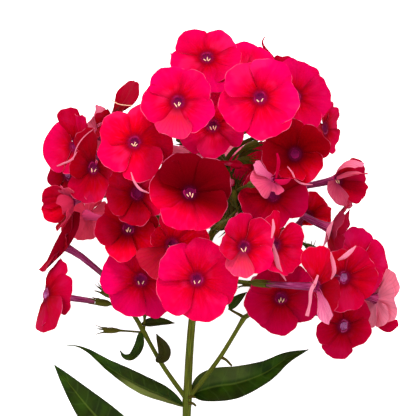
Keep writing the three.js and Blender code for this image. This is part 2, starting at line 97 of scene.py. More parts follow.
# each branch inside or under the head; its last point is a cyme, where florets grow
BRANCHES = {
    "crown": [(6, 22, 1), (3, 30, 8), (1, 36, 14)],
    "crown_right": [(8, 18, 2), (14, 25, 8), (24, 30, 12)],
    "crown_left": [(8, 18, 2), (-3, 22, 8), (-14, 28, 18)],
    "crown_back": [(5, 24, 0), (4, 30, -12)],
    "right": [(14, 2, 5), (22, 2, 8), (31, 4, 10)],
    "left": [(3, -13, 2), (-12, 2, 8), (-27, 13, 17)],
    "far_left": [(-1, -22, 0), (-18, -12, 0), (-38, 2, -2)],
    "centre": [(9, -5, 4), (4, -6, 14), (0, -6, 24)],
    "lower_right": [(-9.8, -94, 0), (5, -74.7, 2), (17, -55, 4)],
    "low_right_tip": [(17, -55, 4), (26, -50, 5), (38, -48.5, 3)],
    "lower_left": [(-9.8, -94, 0), (-21, -78, 2), (-30, -62, 4)],
    "low_left_tip": [(-30, -62, 4), (-34, -55, 4), (-38, -50, 3)],
    "front_low": [(-3, -30, 0), (2, -33, 14), (8, -36, 30)],
    "middle": [(9, -5, 4), (11, 0, 14), (11, 2, 25)],
    "front_left": [(-3, -30, 0), (-12, -30, 8), (-18, -29, 14)],
    "right_back": [(6, -9, 3), (22, -12, -4), (34, -12, -8)],
    "left_back": [(1, -18, 0), (-12, -18, -8), (-24, -14, -12)],
    "low_back": [(-3, -30, 0), (2, -30, -8), (6, -30, -12)],
    "top_back": [(12, 10, 4), (8, 10, -8), (6, 12, -14)],
}
BRANCH_RADIUS = 1.0
# calyces that have lost their floret, at the ends of the low branches and at the top
BARE_CALYCES = [
    [(-30, -62, 4), (-42, -61, 6), (-50, -61, 6)],
    [(-38, -50, 3), (-44, -46, 6), (-50.5, -42, 7)],
    [(38, -48.5, 3), (47, -34, 2), (48, -22, 2)],
    [(26, -50, 5), (23, -40, 8), (15, -39, 10)],
    [(8, 18, 2), (13, 19, 6), (20, 18.5, 8)],
]
# calyces crowded between the florets in the heart of the head, each on its own stalk
HEART_CALYCES = [
    [(13, 5, 28), (9, 14, 30), (2, 21, 30)],
    [(5, 18, 30), (-3, 23, 31), (-12, 26.5, 32)],
    [(9, 14, 29), (14, 21.5, 29), (24, 26.5, 30)],
    [(8, 12, 30), (12, 17, 32), (19.5, 18, 32)],
    [(10, 10, 29), (15, 20, 27), (21, 24, 27)],
    [(20, -6, 29), (17.5, -1, 31), (14, 4, 32)],
    [(17, -9, 29), (20.5, -2, 31), (17, 5, 33)],
    [(15, -8, 31), (12.5, -1, 33), (12.5, 5, 33)],
    [(14, 0, 31), (18, -4, 34), (20, -8, 35)],
    [(15, -3, 31), (8, -10, 31), (3, -14, 31)],
    [(16, -6, 30), (11, -12, 30), (8, -15, 30)],
    [(16, -4, 26), (13, 3, 26), (9, 8, 27)],
    [(13, -10, 26), (16, -3, 26), (18, 3, 26)],
    [(11, -3, 22), (12, 4, 22), (14, 10, 22)],
    [(19, -11, 26), (14, -4, 27), (10, 2, 28)],
    [(9, -12, 20), (10, -4, 21), (10, 4, 22)],
    [(14, -16, 22), (11.5, -8, 23), (12.5, 0, 23)],
    [(6, -14, 18), (8, -10, 18), (12, -3, 18)],
    [(8, 10, 18), (11, 4, 18), (13, -3, 18)],
]
# unopened buds among them: where each starts, and its tip
HEART_BUDS = [
    ((6, 17, 32), (16, 15.4, 33)),
    ((7, 9.5, 30), (12, 6.5, 31)),
    ((-17, 22.5, 30), (-9, 21.5, 31)),
]
# stubs of shoots that broke off
STUBS = [
    [(5, -73.6, 2), (8, -74.6, 3), (11.2, -77.8, 3)],
    [(-9, -95.4, 1.6), (-7, -95.4, 3), (-5.6, -96.6, 3)],
    [(-9, -92.6, 1.6), (-7, -92.2, 3), (-5.8, -92.6, 3)],
    [(17, -55, 4), (9.5, -50.8, 5)],
]

# ---- the florets
PETALS = 5
THROAT_RADIUS = 1.3  # where the petals' surface starts
WAIST = 0.42  # the share of a petal's length where it starts to widen
BASE_HALF_DEG = 41
RIM_HALF_DEG = 43
PRESSED_RIM_HALF_DEG = 34
PETAL_LIFT = 1.1  # each petal's leading edge lies over the next petal by this much
TUBE_LENGTH = 25
PRESSED_HEIGHT = 0.35
PRESSED_SWAY = 0.6  # how strongly a pressed floret's petals are waved
FLOOR_GAP = 0.1  # how far the lowest surfaces are kept above the floor

# under each floret's number: place of the throat (u, v, w), the way it faces (yaw to the right,
# pitch up the stem, in degrees), spin of its first petal, width across the petals, rise of the
# petals at the throat, how far they curl forward on the way to the rim, how deep its crimson is,
# from a bright pink at 0 to a dark red at 1, partly the floret's own colour and partly painted
# shade, and how warm, from a bluish pink at 0 to a pure red
FLORETS = {
    1: (-0.5, 64.6, 30, 0, 26, 56, 33, 4, 4, 0.14, 0),
    2: (-13.2, 43, 58, -4, 4, 42, 33, 4, 2, 0.08, 0.1),
    3: (23, 45, 56, 2, 2, 64, 37.5, 3, 2, 0.06, 0.12),
    4: (2.2, 33.4, 36, 0, -4, 59, 33, 4, 4, 0, 0),
    5: (15.5, 57.5, 28, -12, 36, 20, 33, 4, 4, 0, 0),
    6: (39.5, 47, 30, 20, 14, 0, 35, 2, -4, 0.3, 0.1),
    7: (39, 20.4, 44, 8, -6, 37, 33, 8, 6, 0.95, 0.9),
    8: (54, 33, 14, 60, 5, 30, 27, 2, 6, 0.32, 0.2),
    9: (60, 9.5, 12, 48, 10, 18, 34, 16, 10, 0.7, 0.3),
    10: (29, 8.8, 61, 40, 6, 0, 25, 6, 6, 0.2, 0.6),
    11: (29.5, 2, 36, 4, -10, 56, 32, 5, 4, 0.85, 0.2),
    12: (-8, 3, 60, 0, -4, 30, 34, 4, 2, 1.35, 0.8),
    13: (-32.7, 25.4, 50, -16, 4, 2, 36, 4, 2, 0.7, 0.55),
    14: (-31.7, 2.7, 44, -12, -6, 52, 31, 5, 6, 0.7, 0.8),
    15: (-62, 25.3, 9, -44, 8, 20, 33, 3, 4, 0.15, 0.4),
    16: (-52.2, 14.5, 28, -36, -4, 38, 32, 4, 6, 0.6, 0.7),
    17: (-66, 12, -2, -44, -10, 36, 26, 4, 6, 0.75, 0.3),
    18: (-63, -0.5, 16, -50, -14, 0, 31, 30, 50, 0.25, 0.9),
    19: (-58, -7.1, -14, -136, 10, 38, 28, 4, 6, 0, 1.5),
    20: (-68.3, -21.1, 4, -67, 27, 18, 30, 4, 4, 0.75, 0.5),
    21: (-75.5, -44, 10, -56, 8, 62, 36, -14, -20, 0.5, 0.4),
    22: (-36.1, -13, 32, -20, -6, 39, 32, 3, 4, 0.7, 0.8),
    23: (-16.2, -20.3, 39, 6, 4, 9, 34, 4, 2, 0.55, 0.7),
    24: (-30.6, -36.6, 26, -6, -2, 20, 37.5, 4, 2, 0.12, 0),
    25: (-5, -35.5, 53, 0, 0, 67, 37.5, 3, 2, 0.07, 0.4),
    26: (15.8, -21, 58, 24, 0, 32, 30, 8, 8, 0.25, 0.6),
    27: (30.5, -20.5, 37, 40, 0, 28, 31, 12, 12, 0, 0.6),
    28: (33.5, -45, 24, 2, -14, 51, 36, 3, 2, 0.48, 0.2),
    29: (49, -39, 44, 60, 0, 23, 34, 3, 4, 0.35, 0.9),
    30: (62, -35.5, 26, 22, -4, 58, 33, 3, 4, 0.42, 0.7),
    31: (70.5, -29.5, 3, 32, 8, 14, 33, 2, 0, 0.3, 0.1),
    32: (79, -46.5, -4, 122, -14, 48, 32, 4, 4, 0, 0),
    33: (63, -58.5, 12, 10, -10, 32, 31, 0, -8, 0.55, 0.2),
    34: (56, -13, 19, 74, -20, 20, 32, 24, 4, 0.7, 0.2),
    35: (47, -7, -9, 36, 40, 48, 25, 14, 30, 0.2, 0.8),
    36: (-46, 37.5, 8, -64, 36, 32, 32, 4, 10, 0.8, 0.5),
    37: (-52.5, 31, -10, -110, 24, 14, 28, 4, 6, 0, 0),
    38: (-6, 68, 0, -8, 80, 20, 25, 4, 4, 0, 0),
    39: (29, 61, 12, 12, 54, 20, 24, 6, 4, 0.6, 0.2),
    40: (44, 53, 2, 46, 52, 12, 30, 2, 4, 0.3, 0.1),
    41: (-22, 23, 24, -88, 4, 56, 18, 3, 4, 0, 0),
    42: (24, 12, 18, 10, 8, 20, 32, 3, 4, 0.3, 0.15),
    43: (-58, 12, -29, -114, 0, 26, 30, 3, 4, 0, 0),
    44: (75, -31, -16, 114, -8, 50, 24, 2, 4, 0, 0),
}

# florets pressed flat on the floor by the weight of the head: x, y, spin and width
PRESSED = {
    45: (-46, 71, 20, 32),
    46: (-2, 85, 48, 33),
    47: (30, 71, 10, 32),
    48: (-22, 45, 34, 32),
    49: (20, 39, 62, 32),
    50: (62, 17, 26, 31),
    51: (-35, 15, 54, 31),
    52: (30, 7, 16, 31),
}

# how the five petals of some florets differ from even ones, under the floret's number: length and
# breadth as shares; how far each is turned round the eye, raised, curled forward and twisted, all
# in degrees; how pale its face is, and how much deeper its crimson, partly its own colour and
# partly painted shade
PLAIN_PETAL = dict(long=1.0, broad=1.0, turn=0.0, rise=0.0, curl=0.0, twist=0.0, pale=0.0, crimson_and_shade=0.0)
ODD_PETALS = {
    1: dict(long=(0.94, 1, 1.08, 1.35, 1.1), broad=(1.12, 1, 1.15, 1.2, 1.08), turn=(0, 0, 10, 8, -10)),
    2: dict(pale=(0, 0, 0, 0.07, 0)),
    3: dict(long=(1, 1, 1, 1.06, 1), broad=(1.1, 1, 1, 1, 1), turn=(0, 0, 0, 8, 0), rise=(0, 6, -6, 0, 0)),
    4: dict(rise=(0, 0, 0, 14, 0)),
    7: dict(curl=(0, 0, 0, 70, 60)),
    9: dict(
        long=(0.9, 1.25, 1.1, 1, 1), broad=(1, 1, 0.9, 1.1, 1), rise=(0, 0, 58, 0, 0),
        curl=(0, 110, 20, 0, 40), pale=(0, 0, 0, 0.3, 0), crimson_and_shade=(0, -0.6, -0.6, 0, 0),
    ),
    10: dict(
        long=(0.3, 0.3, 0.95, 0.92, 0.55), broad=(0.3, 0.3, 0.5, 1.2, 0.8), turn=(0, 0, 4, -20, -14),
        rise=(0, 0, -20, -24, 0), pale=(0, 0, 0.95, 0.5, 0.55),
    ),
    12: dict(long=(1.14, 1.12, 1.04, 1, 1.08), broad=(1.15, 1.28, 1.3, 1.1, 1.15), turn=(0, 6, -8, 0, 0)),
    13: dict(
        long=(1, 1, 1, 1, 1.05), broad=(1.12, 1, 1, 1, 1.15), turn=(-6, 0, 0, 0, 8), rise=(0, 0, 0, 0, 10),
    ),
    15: dict(
        long=(1.06, 1.16, 1.12, 0.86, 0.6), broad=(0.4, 0.6, 1.6, 1.15, 1), turn=(38, -3, 22, 4, -22),
        curl=(60, 30, 0, 0, 0), twist=(10, 20, 0, 0, 0), crimson_and_shade=(0, 0.25, 0, 0, 0),
    ),
    16: dict(
        long=(0.75, 1.12, 1.12, 1.06, 0.95), broad=(1.15, 0.72, 0.95, 1, 1.2), turn=(128, -8, 56, 28, 18),
        crimson_and_shade=(0.3, 0.3, 0, -0.2, 0.2),
    ),
    18: dict(
        long=(1, 0.6, 1, 1.05, 1.05), broad=(1.2, 0.8, 1.25, 1.25, 1.25), curl=(0, -60, 0, 0, 0),
        pale=(0, 0.4, 0, 0, 0), crimson_and_shade=(0.6, 0, 0, 0, 0.5),
    ),
    19: dict(broad=PETALS * (0.95,), pale=PETALS * (0.1,)),
    20: dict(long=(0.5, 1.1, 0.5, 1.1, 0.75), broad=(1, 1.1, 1, 0.9, 0.7), turn=(0, 0, 0, 34, -30)),
    21: dict(
        long=(1.08, 0.7, 0.8, 1.05, 1), broad=(0.7, 1, 0.8, 1.5, 1.15), turn=(23, 0, 60, 14, 14),
        rise=(0, -40, 12, 16, 0),
    ),
    22: dict(broad=(1, 1, 1, 1.1, 1.1), rise=(0, 0, 0, 12, 0)),
    23: dict(long=(1, 1, 0.62, 1, 1), broad=(1, 1, 0.8, 1, 1), pale=(0, 0, 0, 0.04, 0)),
    24: dict(crimson_and_shade=(0.2, 0, 0, 0, 0.25)),
    26: dict(pale=(0, 0, 0, 0.2, 0)),
    29: dict(
        long=(1, 1.08, 0.3, 1.06, 1), broad=(1, 0.8, 0.4, 0.36, 1), turn=(0, 0, 0, 54, 24),
        twist=(0, -48, 0, 0, 0), pale=(0, 0, 0, 1, 0), crimson_and_shade=(0, -0.1, 0, 0, 0.5),
    ),
    30: dict(long=(1, 0.85, 1, 1, 1), turn=(-20, -14, 10, 6, 0)),
    31: dict(long=(1.06, 1.08, 1, 1, 1), broad=(1.38, 0.98, 1, 1, 1), turn=(-23, 4, 0, 0, 0)),
    32: dict(
        long=(1, 1, 1, 0.9, 0.9), broad=(1.2, 1.3, 1.2, 1.15, 1.4), turn=(0, 0, -6, -14, -36),
        pale=(0.7, 0.65, 0.6, 0.6, 0.7),
    ),
    33: dict(long=(1, 0.78, 0.95, 1.14, 0.8), broad=(1.1, 1.1, 0.86, 0.86, 1.3), turn=(10, 8, 24, 13, 6)),
    36: dict(
        long=(0.7, 1.42, 0.5, 0.6, 0.6), broad=(1, 0.85, 1, 1, 1), turn=(0, -26, 0, 0, 0),
        curl=(0, -8, 0, 0, 0), crimson_and_shade=(0.4, 0.1, 0, 0, 0),
    ),
}

# painted shade and light across a floret: its tone is painted lighter towards one way round the
# eye, standing in for shadow on one side and light on the other: towards which way round the eye
# in degrees, by how much, and from where to where as shares of its radius
PAINTED_SHADE_ACROSS = {
    7: (-70, 0.65, 0.1, 0.75),
    11: (-70, 0.5, -0.2, 0.7),
    12: (-112, 1.5, -0.15, 0.75),
    13: (175, 0.7, -0.6, -0.05),
    14: (10, 0.7, 0, 0.6),
    16: (-40, 0.25, 0.3, 0.8),
    22: (-75, 0.9, 0.1, 0.75),
    23: (30, 0.55, -0.6, 0),
    26: (-60, 0.35, -0.2, 0.5),
}
# florets that are unlike the others in their eyes or tubes, by number
SMALL_EYES = {10: 0.3}  # shares of the plain size
PALE_EYES = (17, 21, 30, 33)
DEEP_ANTHERS = (7, 8, 10, 11, 14, 15, 27, 29)  # too deep in the tube to be seen
PINK_TUBES = (19,)
SHORT_TUBES = {10: 12, 41: 8}  # millimetres


# ---- lines
class Line:
    """A smooth line through points, or a bent stalk, that is walked by its own length."""

    STEPS = 48

    def __init__(self, dense):
        self.dense = dense
        steps = np.linalg.norm(np.diff(dense, axis=0), axis=1)
        self.gone = np.concatenate([[0.0], np.cumsum(steps)])
        self.length = self.gone[-1]

    @classmethod
    def through(cls, points):
        """A centripetal Catmull-Rom spline."""
        p = np.array(points, float)
        p = np.vstack([2 * p[0] - p[1], p, 2 * p[-1] - p[-2]])
        spans = []
        for a, b, c, d in zip(p, p[1:], p[2:], p[3:]):
            before, here, after = (math.sqrt(np.linalg.norm(k)) for k in (b - a, c - b, d - c))
            leave = (b - a) / before - (c - a) / (before + here) + (c - b) / here
            arrive = (c - b) / here - (d - b) / (here + after) + (d - c) / after
            leave, arrive = leave * here, arrive * here
            t = np.linspace(0, 1, cls.STEPS, endpoint=False)[:, None]
            bend = -3 * b + 3 * c - 2 * leave - arrive
            spans.append(b + leave * t + bend * t**2 + (2 * b - 2 * c + leave + arrive) * t**3)
        return cls(np.vstack([*spans, p[-2][None]]))

    @classmethod
    def planned(cls, spots):
        """A spline through places in the plant's own axes."""
        return cls.through([place(spot) for spot in spots])

    @classmethod
    def arched(cls, start, bend, end):
        """A quadratic curve from start to end that leans towards bend."""
        t = np.linspace(0, 1, 3 * cls.STEPS)[:, None]
        return cls((1 - t) ** 2 * start + 2 * t * (1 - t) * bend + t**2 * end)

    def at(self, share):
        """The points at these shares of the length."""
        wanted = np.atleast_1d(share) * self.length
        return np.stack([np.interp(wanted, self.gone, self.dense[:, k]) for k in range(3)], axis=1)

    def tangents(self, share):
        share = np.atleast_1d(share)
        small = 0.004
        ahead = self.at(np.minimum(share + small, 1))
        behind = self.at(np.maximum(share - small, 0))
        way = ahead - behind
        return way / np.linalg.norm(way, axis=1)[:, None]


def square_to(tangents, first):
    """Two directions square to each tangent, turned as little as possible along the line."""
    sides, others = [], []
    side = np.array(first, float)
    for tangent in tangents:
        side = unit(side - side.dot(tangent) * tangent)
        sides.append(side)
        others.append(np.cross(tangent, side))
    return np.array(sides), np.array(others)


def angles_round(sides):
    return np.linspace(0, 2 * math.pi, sides, endpoint=False)


def wheel(side, other, angle):
    """The directions at these angles round each point of a line."""
    return side[:, None] * np.cos(angle)[:, None] + other[:, None] * np.sin(angle)[:, None]


def any_side(tangent):
    helper = np.array([0.0, 0, 1]) if abs(tangent[2]) < 0.8 else np.array([1.0, 0, 0])
    return unit(helper - helper.dot(tangent) * tangent)


# ---- meshes
SHARP_DEG = 50  # edges that bend more than this stay sharp
VALUES = ("along", "across", "under", "tone", "warm", "pale", "rim")


def new_object(name, data):
    made = bpy.data.objects.new(name, data)
    bpy.context.scene.collection.objects.link(made)
    return made


class Form:
    """The points and faces of one piece. Each point carries a number for every name in VALUES,
    which the materials read."""

    def __init__(self):
        self.points = []
        self.count = 0
        self.values = {name: [] for name in VALUES}
        self.faces = []
        self.slots = []

    def add(self, points, **values):
        """Adds points of any grid shape and returns their numbers in that shape."""
        shape = points.shape[:-1]
        flat = points.reshape(-1, 3)
        self.points.append(flat)
        for name in VALUES:
            self.values[name].append(np.broadcast_to(values.get(name, 0.0), shape).reshape(-1))
        first = self.count
        self.count += len(flat)
        return np.arange(first, self.count).reshape(shape)

    def face(self, corners, slot=0):
        rows = np.asarray(corners).tolist()
        self.faces.extend(rows)
        self.slots.extend([slot] * len(rows))

    def grid(self, numbers, slot=0, wrap=False):
        if wrap:
            numbers = np.concatenate([numbers, numbers[:, :1]], axis=1)
        corners = [numbers[:-1, :-1], numbers[:-1, 1:], numbers[1:, 1:], numbers[1:, :-1]]
        self.face(np.stack(corners, axis=-1).reshape(-1, 4), slot)

    def sheet(self, front, back, slot=0):
        """A thin closed sheet between two grids of points."""
        self.grid(front, slot)
        self.grid(back[:, ::-1], slot)
        loops = []
        for side in (front, back):
            loops.append(np.concatenate([side[0, :-1], side[:-1, -1], side[-1, :0:-1], side[:0:-1, 0]]))
        self.grid(np.stack(loops), slot, wrap=True)

    def fan(self, ring, centre, slot=0, **values):
        tip = int(self.add(centre[None], **values)[0])
        following = np.roll(ring, -1)
        self.face(np.stack([ring, following, np.full_like(ring, tip)], axis=-1), slot)

    def tube(self, line, shares, radii, sides, slot=0, first=None, shape=None, **values):
        """A closed tube along a line, with a radius at each share of its length. shape gives
        the radius all round as a share of the plain one."""
        shares = np.asarray(shares, float)
        centres, tangents = line.at(shares), line.tangents(shares)
        side, other = square_to(tangents, any_side(tangents[0]) if first is None else first)
        angle = angles_round(sides)
        radii = np.asarray(radii, float)[:, None] * np.ones(sides)
        if shape is not None:
            radii = radii * shape(shares[:, None], angle)
        rings = centres[:, None] + wheel(side, other, angle) * radii[..., None]
        along = shares[:, None] * line.length * np.ones(sides)
        values = {"along": along, "across": angle[None] * np.ones_like(along), **values}
        numbers = self.add(rings, **values)
        self.grid(numbers, slot, wrap=True)
        ends = {name: np.ravel(value)[0] for name, value in values.items()}
        self.fan(numbers[0], centres[0], slot, **ends)
        ends["along"] = along[-1, 0]
        self.fan(numbers[-1], centres[-1], slot, **ends)

    def piece(self, name, materials, replaces=()):
        """Makes the object, facing outwards and smooth, and lets it ride on the plant."""
        mesh = bpy.data.meshes.new(name)
        mesh.from_pydata(np.concatenate(self.points) * MM, [], self.faces)
        for material in materials:
            mesh.materials.append(material)
        mesh.polygons.foreach_set("material_index", self.slots)
        for value in VALUES:
            attribute = mesh.attributes.new(value, "FLOAT", "POINT")
            attribute.data.foreach_set("value", np.concatenate(self.values[value]).astype(np.float32))
        work = bmesh.new()
        work.from_mesh(mesh)
        bmesh.ops.recalc_face_normals(work, faces=work.faces)
        work.to_mesh(mesh)
        work.free()
        mesh.shade_smooth()
        mesh.set_sharp_from_angle(angle=math.radians(SHARP_DEG))
        made = new_object(name, mesh)
        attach(made, BODY)
        if replaces:
            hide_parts(*replaces)


# ---- materials
def srgb(code):
    """A colour as Blender wants it, from its six-figure screen code."""
    parts = [int(code[k : k + 2], 16) / 255 for k in (0, 2, 4)]
    return (*[c / 12.92 if c < 0.04045 else ((c + 0.055) / 1.055) ** 2.4 for c in parts], 1)


class Graph:
    """Writes a material's nodes. Values and sockets go in, and a socket comes out."""

    def __init__(self, name, roughness, specular, tint="ffffff"):
        self.material = bpy.data.materials.new(name)
        self.material.use_nodes = True
        self.nodes = self.material.node_tree.nodes
        self.links = self.material.node_tree.links
        self.shader = self.nodes["Principled BSDF"]
        self.shader.inputs["Roughness"].default_value = roughness
        self.shader.inputs["Specular IOR Level"].default_value = specular
        self.shader.inputs["Specular Tint"].default_value = srgb(tint)

    def put(self, value, socket):
        if isinstance(value, bpy.types.NodeSocket):
            self.links.new(value, socket)
        else:
            socket.default_value = value

    def node(self, kind, output, inputs, **settings):
        """A new node with these settings and inputs. It gives its output."""
        node = self.nodes.new("ShaderNode" + kind)
        for name, value in settings.items():
            setattr(node, name, value)
        for name, value in inputs.items():
            self.put(value, node.inputs[name])
        return node.outputs[output]

    def value(self, name):
        return self.node("Attribute", "Fac", {}, attribute_name=name)

    def math(self, operation, *values):
        return self.node("Math", 0, dict(enumerate(values)), operation=operation)

    def times(self, first, second):
        return self.math("MULTIPLY", first, second)

    def step(self, value, low, high, start=0.0, end=1.0):
        """start up to low and end from high on, with a smooth step between."""
        inputs = {"Value": value, "From Min": low, "From Max": high, "To Min": start, "To Max": end}
        return self.node("MapRange", "Result", inputs, interpolation_type="SMOOTHSTEP")

    def ramp(self, value, *stops):
        colour = self.node("ValToRGB", "Color", {"Fac": value})
        elements = colour.node.color_ramp.elements
        for spot, _ in stops[2:]:
            elements.new(spot)
        for element, (spot, code) in zip(elements, stops):
            element.position = spot
            element.color = srgb(code)
        return colour

    def mix(self, share, first, second):
        first, second = (srgb(c) if isinstance(c, str) else c for c in (first, second))
        return self.node("Mix", 2, {0: share, 6: first, 7: second}, data_type="RGBA")

    def at(self, x, y, z):
        return self.node("CombineXYZ", 0, {"X": x, "Y": y, "Z": z})

    def noise(self, vector, scale, detail=3.0):
        return self.node("TexNoise", "Fac", {"Vector": vector, "Scale": scale, "Detail": detail})

    def fibres(self, along, across, close, slow, scale, detail):
        """Noise drawn out along a tube, with no seam where across comes round again."""
        x, y = (self.times(self.math(wave, across), close) for wave in ("SINE", "COSINE"))
        return self.noise(self.at(x, y, self.times(along, slow)), scale, detail)

    def position(self):
        """The place on the plant, in millimetres."""
        spot = self.node("TexCoord", "Object", {})
        return self.node("VectorMath", 0, {0: spot, "Scale": 1 / MM}, operation="SCALE")

    def colour(self, socket):
        self.put(socket, self.shader.inputs["Base Color"])

    def rough(self, socket):
        self.put(socket, self.shader.inputs["Roughness"])

    def bump(self, height, depth):
        """Relief of this depth in millimetres."""
        inputs = {"Strength": 1.0, "Distance": depth * MM, "Height": height}
        self.put(self.node("Bump", "Normal", inputs), self.shader.inputs["Normal"])

    def glow_through(self, share, colour):
        """Lets a share of the light pass through the thin sheet."""
        through = self.node("BsdfTranslucent", "BSDF", {"Color": colour})
        blend = self.node("MixShader", 0, {0: share, 1: self.shader.outputs["BSDF"], 2: through})
        self.put(blend, self.nodes["Material Output"].inputs["Surface"])


REACH = 20.0  # the longest way from a throat to a rim, in millimetres


def petal_material():
    """Crimson pink, darker round the eye, with fine veins; the underside is pale and veined. tone
    makes the face deeper, partly a deeper crimson and partly painted shade; warm makes it redder,
    and pale turns it as light as the underside."""
    g = Graph("phlox_petal", 0.7, 0.03, "ff3f78")
    along, across, under = g.value("along"), g.value("across"), g.value("under")
    tone, warm, pale, rim = g.value("tone"), g.value("warm"), g.value("pale"), g.value("rim")
    reach = g.math("DIVIDE", along, REACH)
    cool = [(0.0, "8c0c44"), (0.14, "960c42"), (0.17, "98062c"), (0.21, "aa001e"), (0.27, "c60018")]
    bright = g.ramp(reach, *cool, (0.36, "de0028"), (0.52, "e8004c"), (0.75, "ee0064"))
    hot = [(0.2, "a4001a"), (0.27, "c20008"), (0.36, "dc0010"), (0.52, "e8001a"), (0.75, "ec0030")]
    hot = g.ramp(reach, *hot)
    dark = [(0.0, "580a30"), (0.14, "5c0a2c"), (0.18, "540014"), (0.24, "640006"), (0.36, "7c0006")]
    dark = g.ramp(reach, *dark, (0.6, "92000a"), (0.85, "a00016"))
    fan = g.at(g.times(across, 3.0), g.times(along, 0.1), g.times(warm, 40.0))
    streaks = g.noise(fan, 2.2, 4.0)
    patches = g.noise(g.position(), 0.16, 3.0)
    away = g.step(reach, 0.18, 0.34)
    bright = g.mix(g.times(away, warm), bright, hot)
    bright = g.mix(g.times(away, g.step(patches, 0.45, 0.7, 0.0, 0.35)), bright, "e80030")
    bright = g.mix(g.times(away, g.step(streaks, 0.45, 0.75, 0.0, 0.3)), bright, "fc1470")
    # painted sheen: lighter pink patches that stand in for highlights on the petals
    painted_sheen = g.step(g.noise(g.position(), 0.09, 2.0), 0.52, 0.68, 0.0, 0.3)
    bright = g.mix(g.times(away, painted_sheen), bright, "ff2c7e")
    # painted shade: darker red along each petal's side edges, where the petals overlap, fading out towards
    # the rim
    overlap_shade = g.step(g.math("ABSOLUTE", across), 0.55, 1.0)
    overlap_shade = g.times(overlap_shade, g.step(reach, 0.35, 0.85, 0.6, 0.0))
    bright = g.mix(overlap_shade, bright, "b0001e")
    # tone mixes in the dark crimson, partly the petal's own colour and partly painted shade
    face = g.mix(tone, bright, dark)
    # painted shadow: beyond a tone of 1 the face goes towards a near-black red
    face = g.mix(g.step(tone, 1.0, 1.4, 0.0, 0.5), face, "400008")
    warp = g.times(g.noise(g.position(), 0.35), 5.0)
    ribs = g.math("SINE", g.math("ADD", g.times(across, 34.0), warp))
    veins = g.step(ribs, 0.55, 1.0)
    back = g.ramp(reach, (0.05, "dc5a90"), (0.3, "f86c94"), (0.8, "ff8cae"))
    back = g.mix(g.times(veins, 0.4), back, "c42f62")
    # the underside darkens with the tone too, partly painted shade
    back = g.mix(g.step(tone, 0.0, 0.8, 0.0, 0.95), back, "980c34")
    back = g.mix(g.times(warm, 0.6), back, "ff3a68")
    back = g.mix(g.times(pale, 0.7), back, "ffa4be")
    light = g.ramp(reach, (0.1, "c83468"), (0.3, "e06090"), (0.8, "fa8cb2"))
    light = g.mix(g.times(veins, 0.5), light, "c84880")
    light = g.mix(g.step(streaks, 0.45, 0.65, 0.0, 0.5), light, "d45288")
    face = g.mix(g.times(veins, 0.05), face, "a00020")
    face = g.mix(pale, face, light)
    # painted highlight: a pale pink edge along the rims, in patches
    rim_highlight = g.times(g.step(rim, 0.08, 0.36, 1.0, 0.0), g.step(patches, 0.45, 0.62))
    face = g.mix(g.times(rim_highlight, 0.75), face, "f46a98")
    shade = g.mix(under, face, back)
    g.colour(shade)
    g.bump(g.math("ADD", g.times(veins, 0.4), streaks), 0.1)
    g.glow_through(0.3, shade)
    return g.material


def tube_material():
    """The floret's tube: mauve with darker lines outside, and a lilac within that is painted darker
    with depth as painted shade. pale makes the outside pinker and the mouth a streaked lilac."""
    g = Graph("phlox_tube", 0.5, 0.1, "ff9ac8")
    along, across, under, pale = g.value("along"), g.value("across"), g.value("under"), g.value("pale")
    lines = g.fibres(along, across, 3.0, 0.05, 2.5, 3.0)
    length = g.math("DIVIDE", along, TUBE_LENGTH)
    skin = g.ramp(length, (0.0, "b0285c"), (0.2, "8c1c54"), (0.7, "80184c"), (1.0, "6c3434"))
    skin = g.mix(g.step(lines, 0.45, 0.65, 0.0, 0.7), skin, "b05a8a")
    skin = g.mix(g.step(lines, 0.48, 0.36), skin, "560a32")
    skin = g.mix(g.times(pale, 0.8), skin, "e0447a")
    depth = g.math("DIVIDE", along, 2.0)
    # painted shade: the inside darkens from the lip down into the tube
    inside = g.ramp(depth, (0.0, "960c46"), (0.2, "8e0c4a"), (0.5, "7c0a46"), (1.0, "62083a"))
    streaked = g.mix(g.step(lines, 0.4, 0.6), "8c2c6c", "b878a8")
    inside = g.mix(g.times(pale, g.step(depth, 0.02, 0.2)), inside, streaked)
    g.colour(g.mix(under, skin, inside))
    g.bump(lines, 0.12)
    return g.material


def anther_material():
    g = Graph("phlox_anther", 0.6, 0.2)
    grain = g.noise(g.position(), 6.0)
    g.colour(g.mix(grain, "ffd8b4", "f2a482"))
    g.bump(grain, 0.1)
    return g.material


def stem_material():
    """Green with fine lengthways lines and a browner tone here and there."""
    g = Graph("phlox_stem", 0.5, 0.1)
    along, across, tone = g.value("along"), g.value("across"), g.value("tone")
    fibres = g.fibres(along, across, 4.0, 0.04, 2.0, 4.0)
    blotch = g.noise(g.position(), 0.12, 3.0)
    green = g.mix(g.step(fibres, 0.38, 0.6), "303c08", "6a741a")
    green = g.mix(g.step(blotch, 0.5, 0.75, 0.0, 0.5), green, "50400f")
    brown = g.mix(g.step(fibres, 0.35, 0.65), "332c06", "5c5214")
    g.colour(g.mix(tone, green, brown))
    g.rough(g.step(blotch, 0.3, 0.7, 0.42, 0.6))
    g.bump(fibres, 0.2)
    return g.material


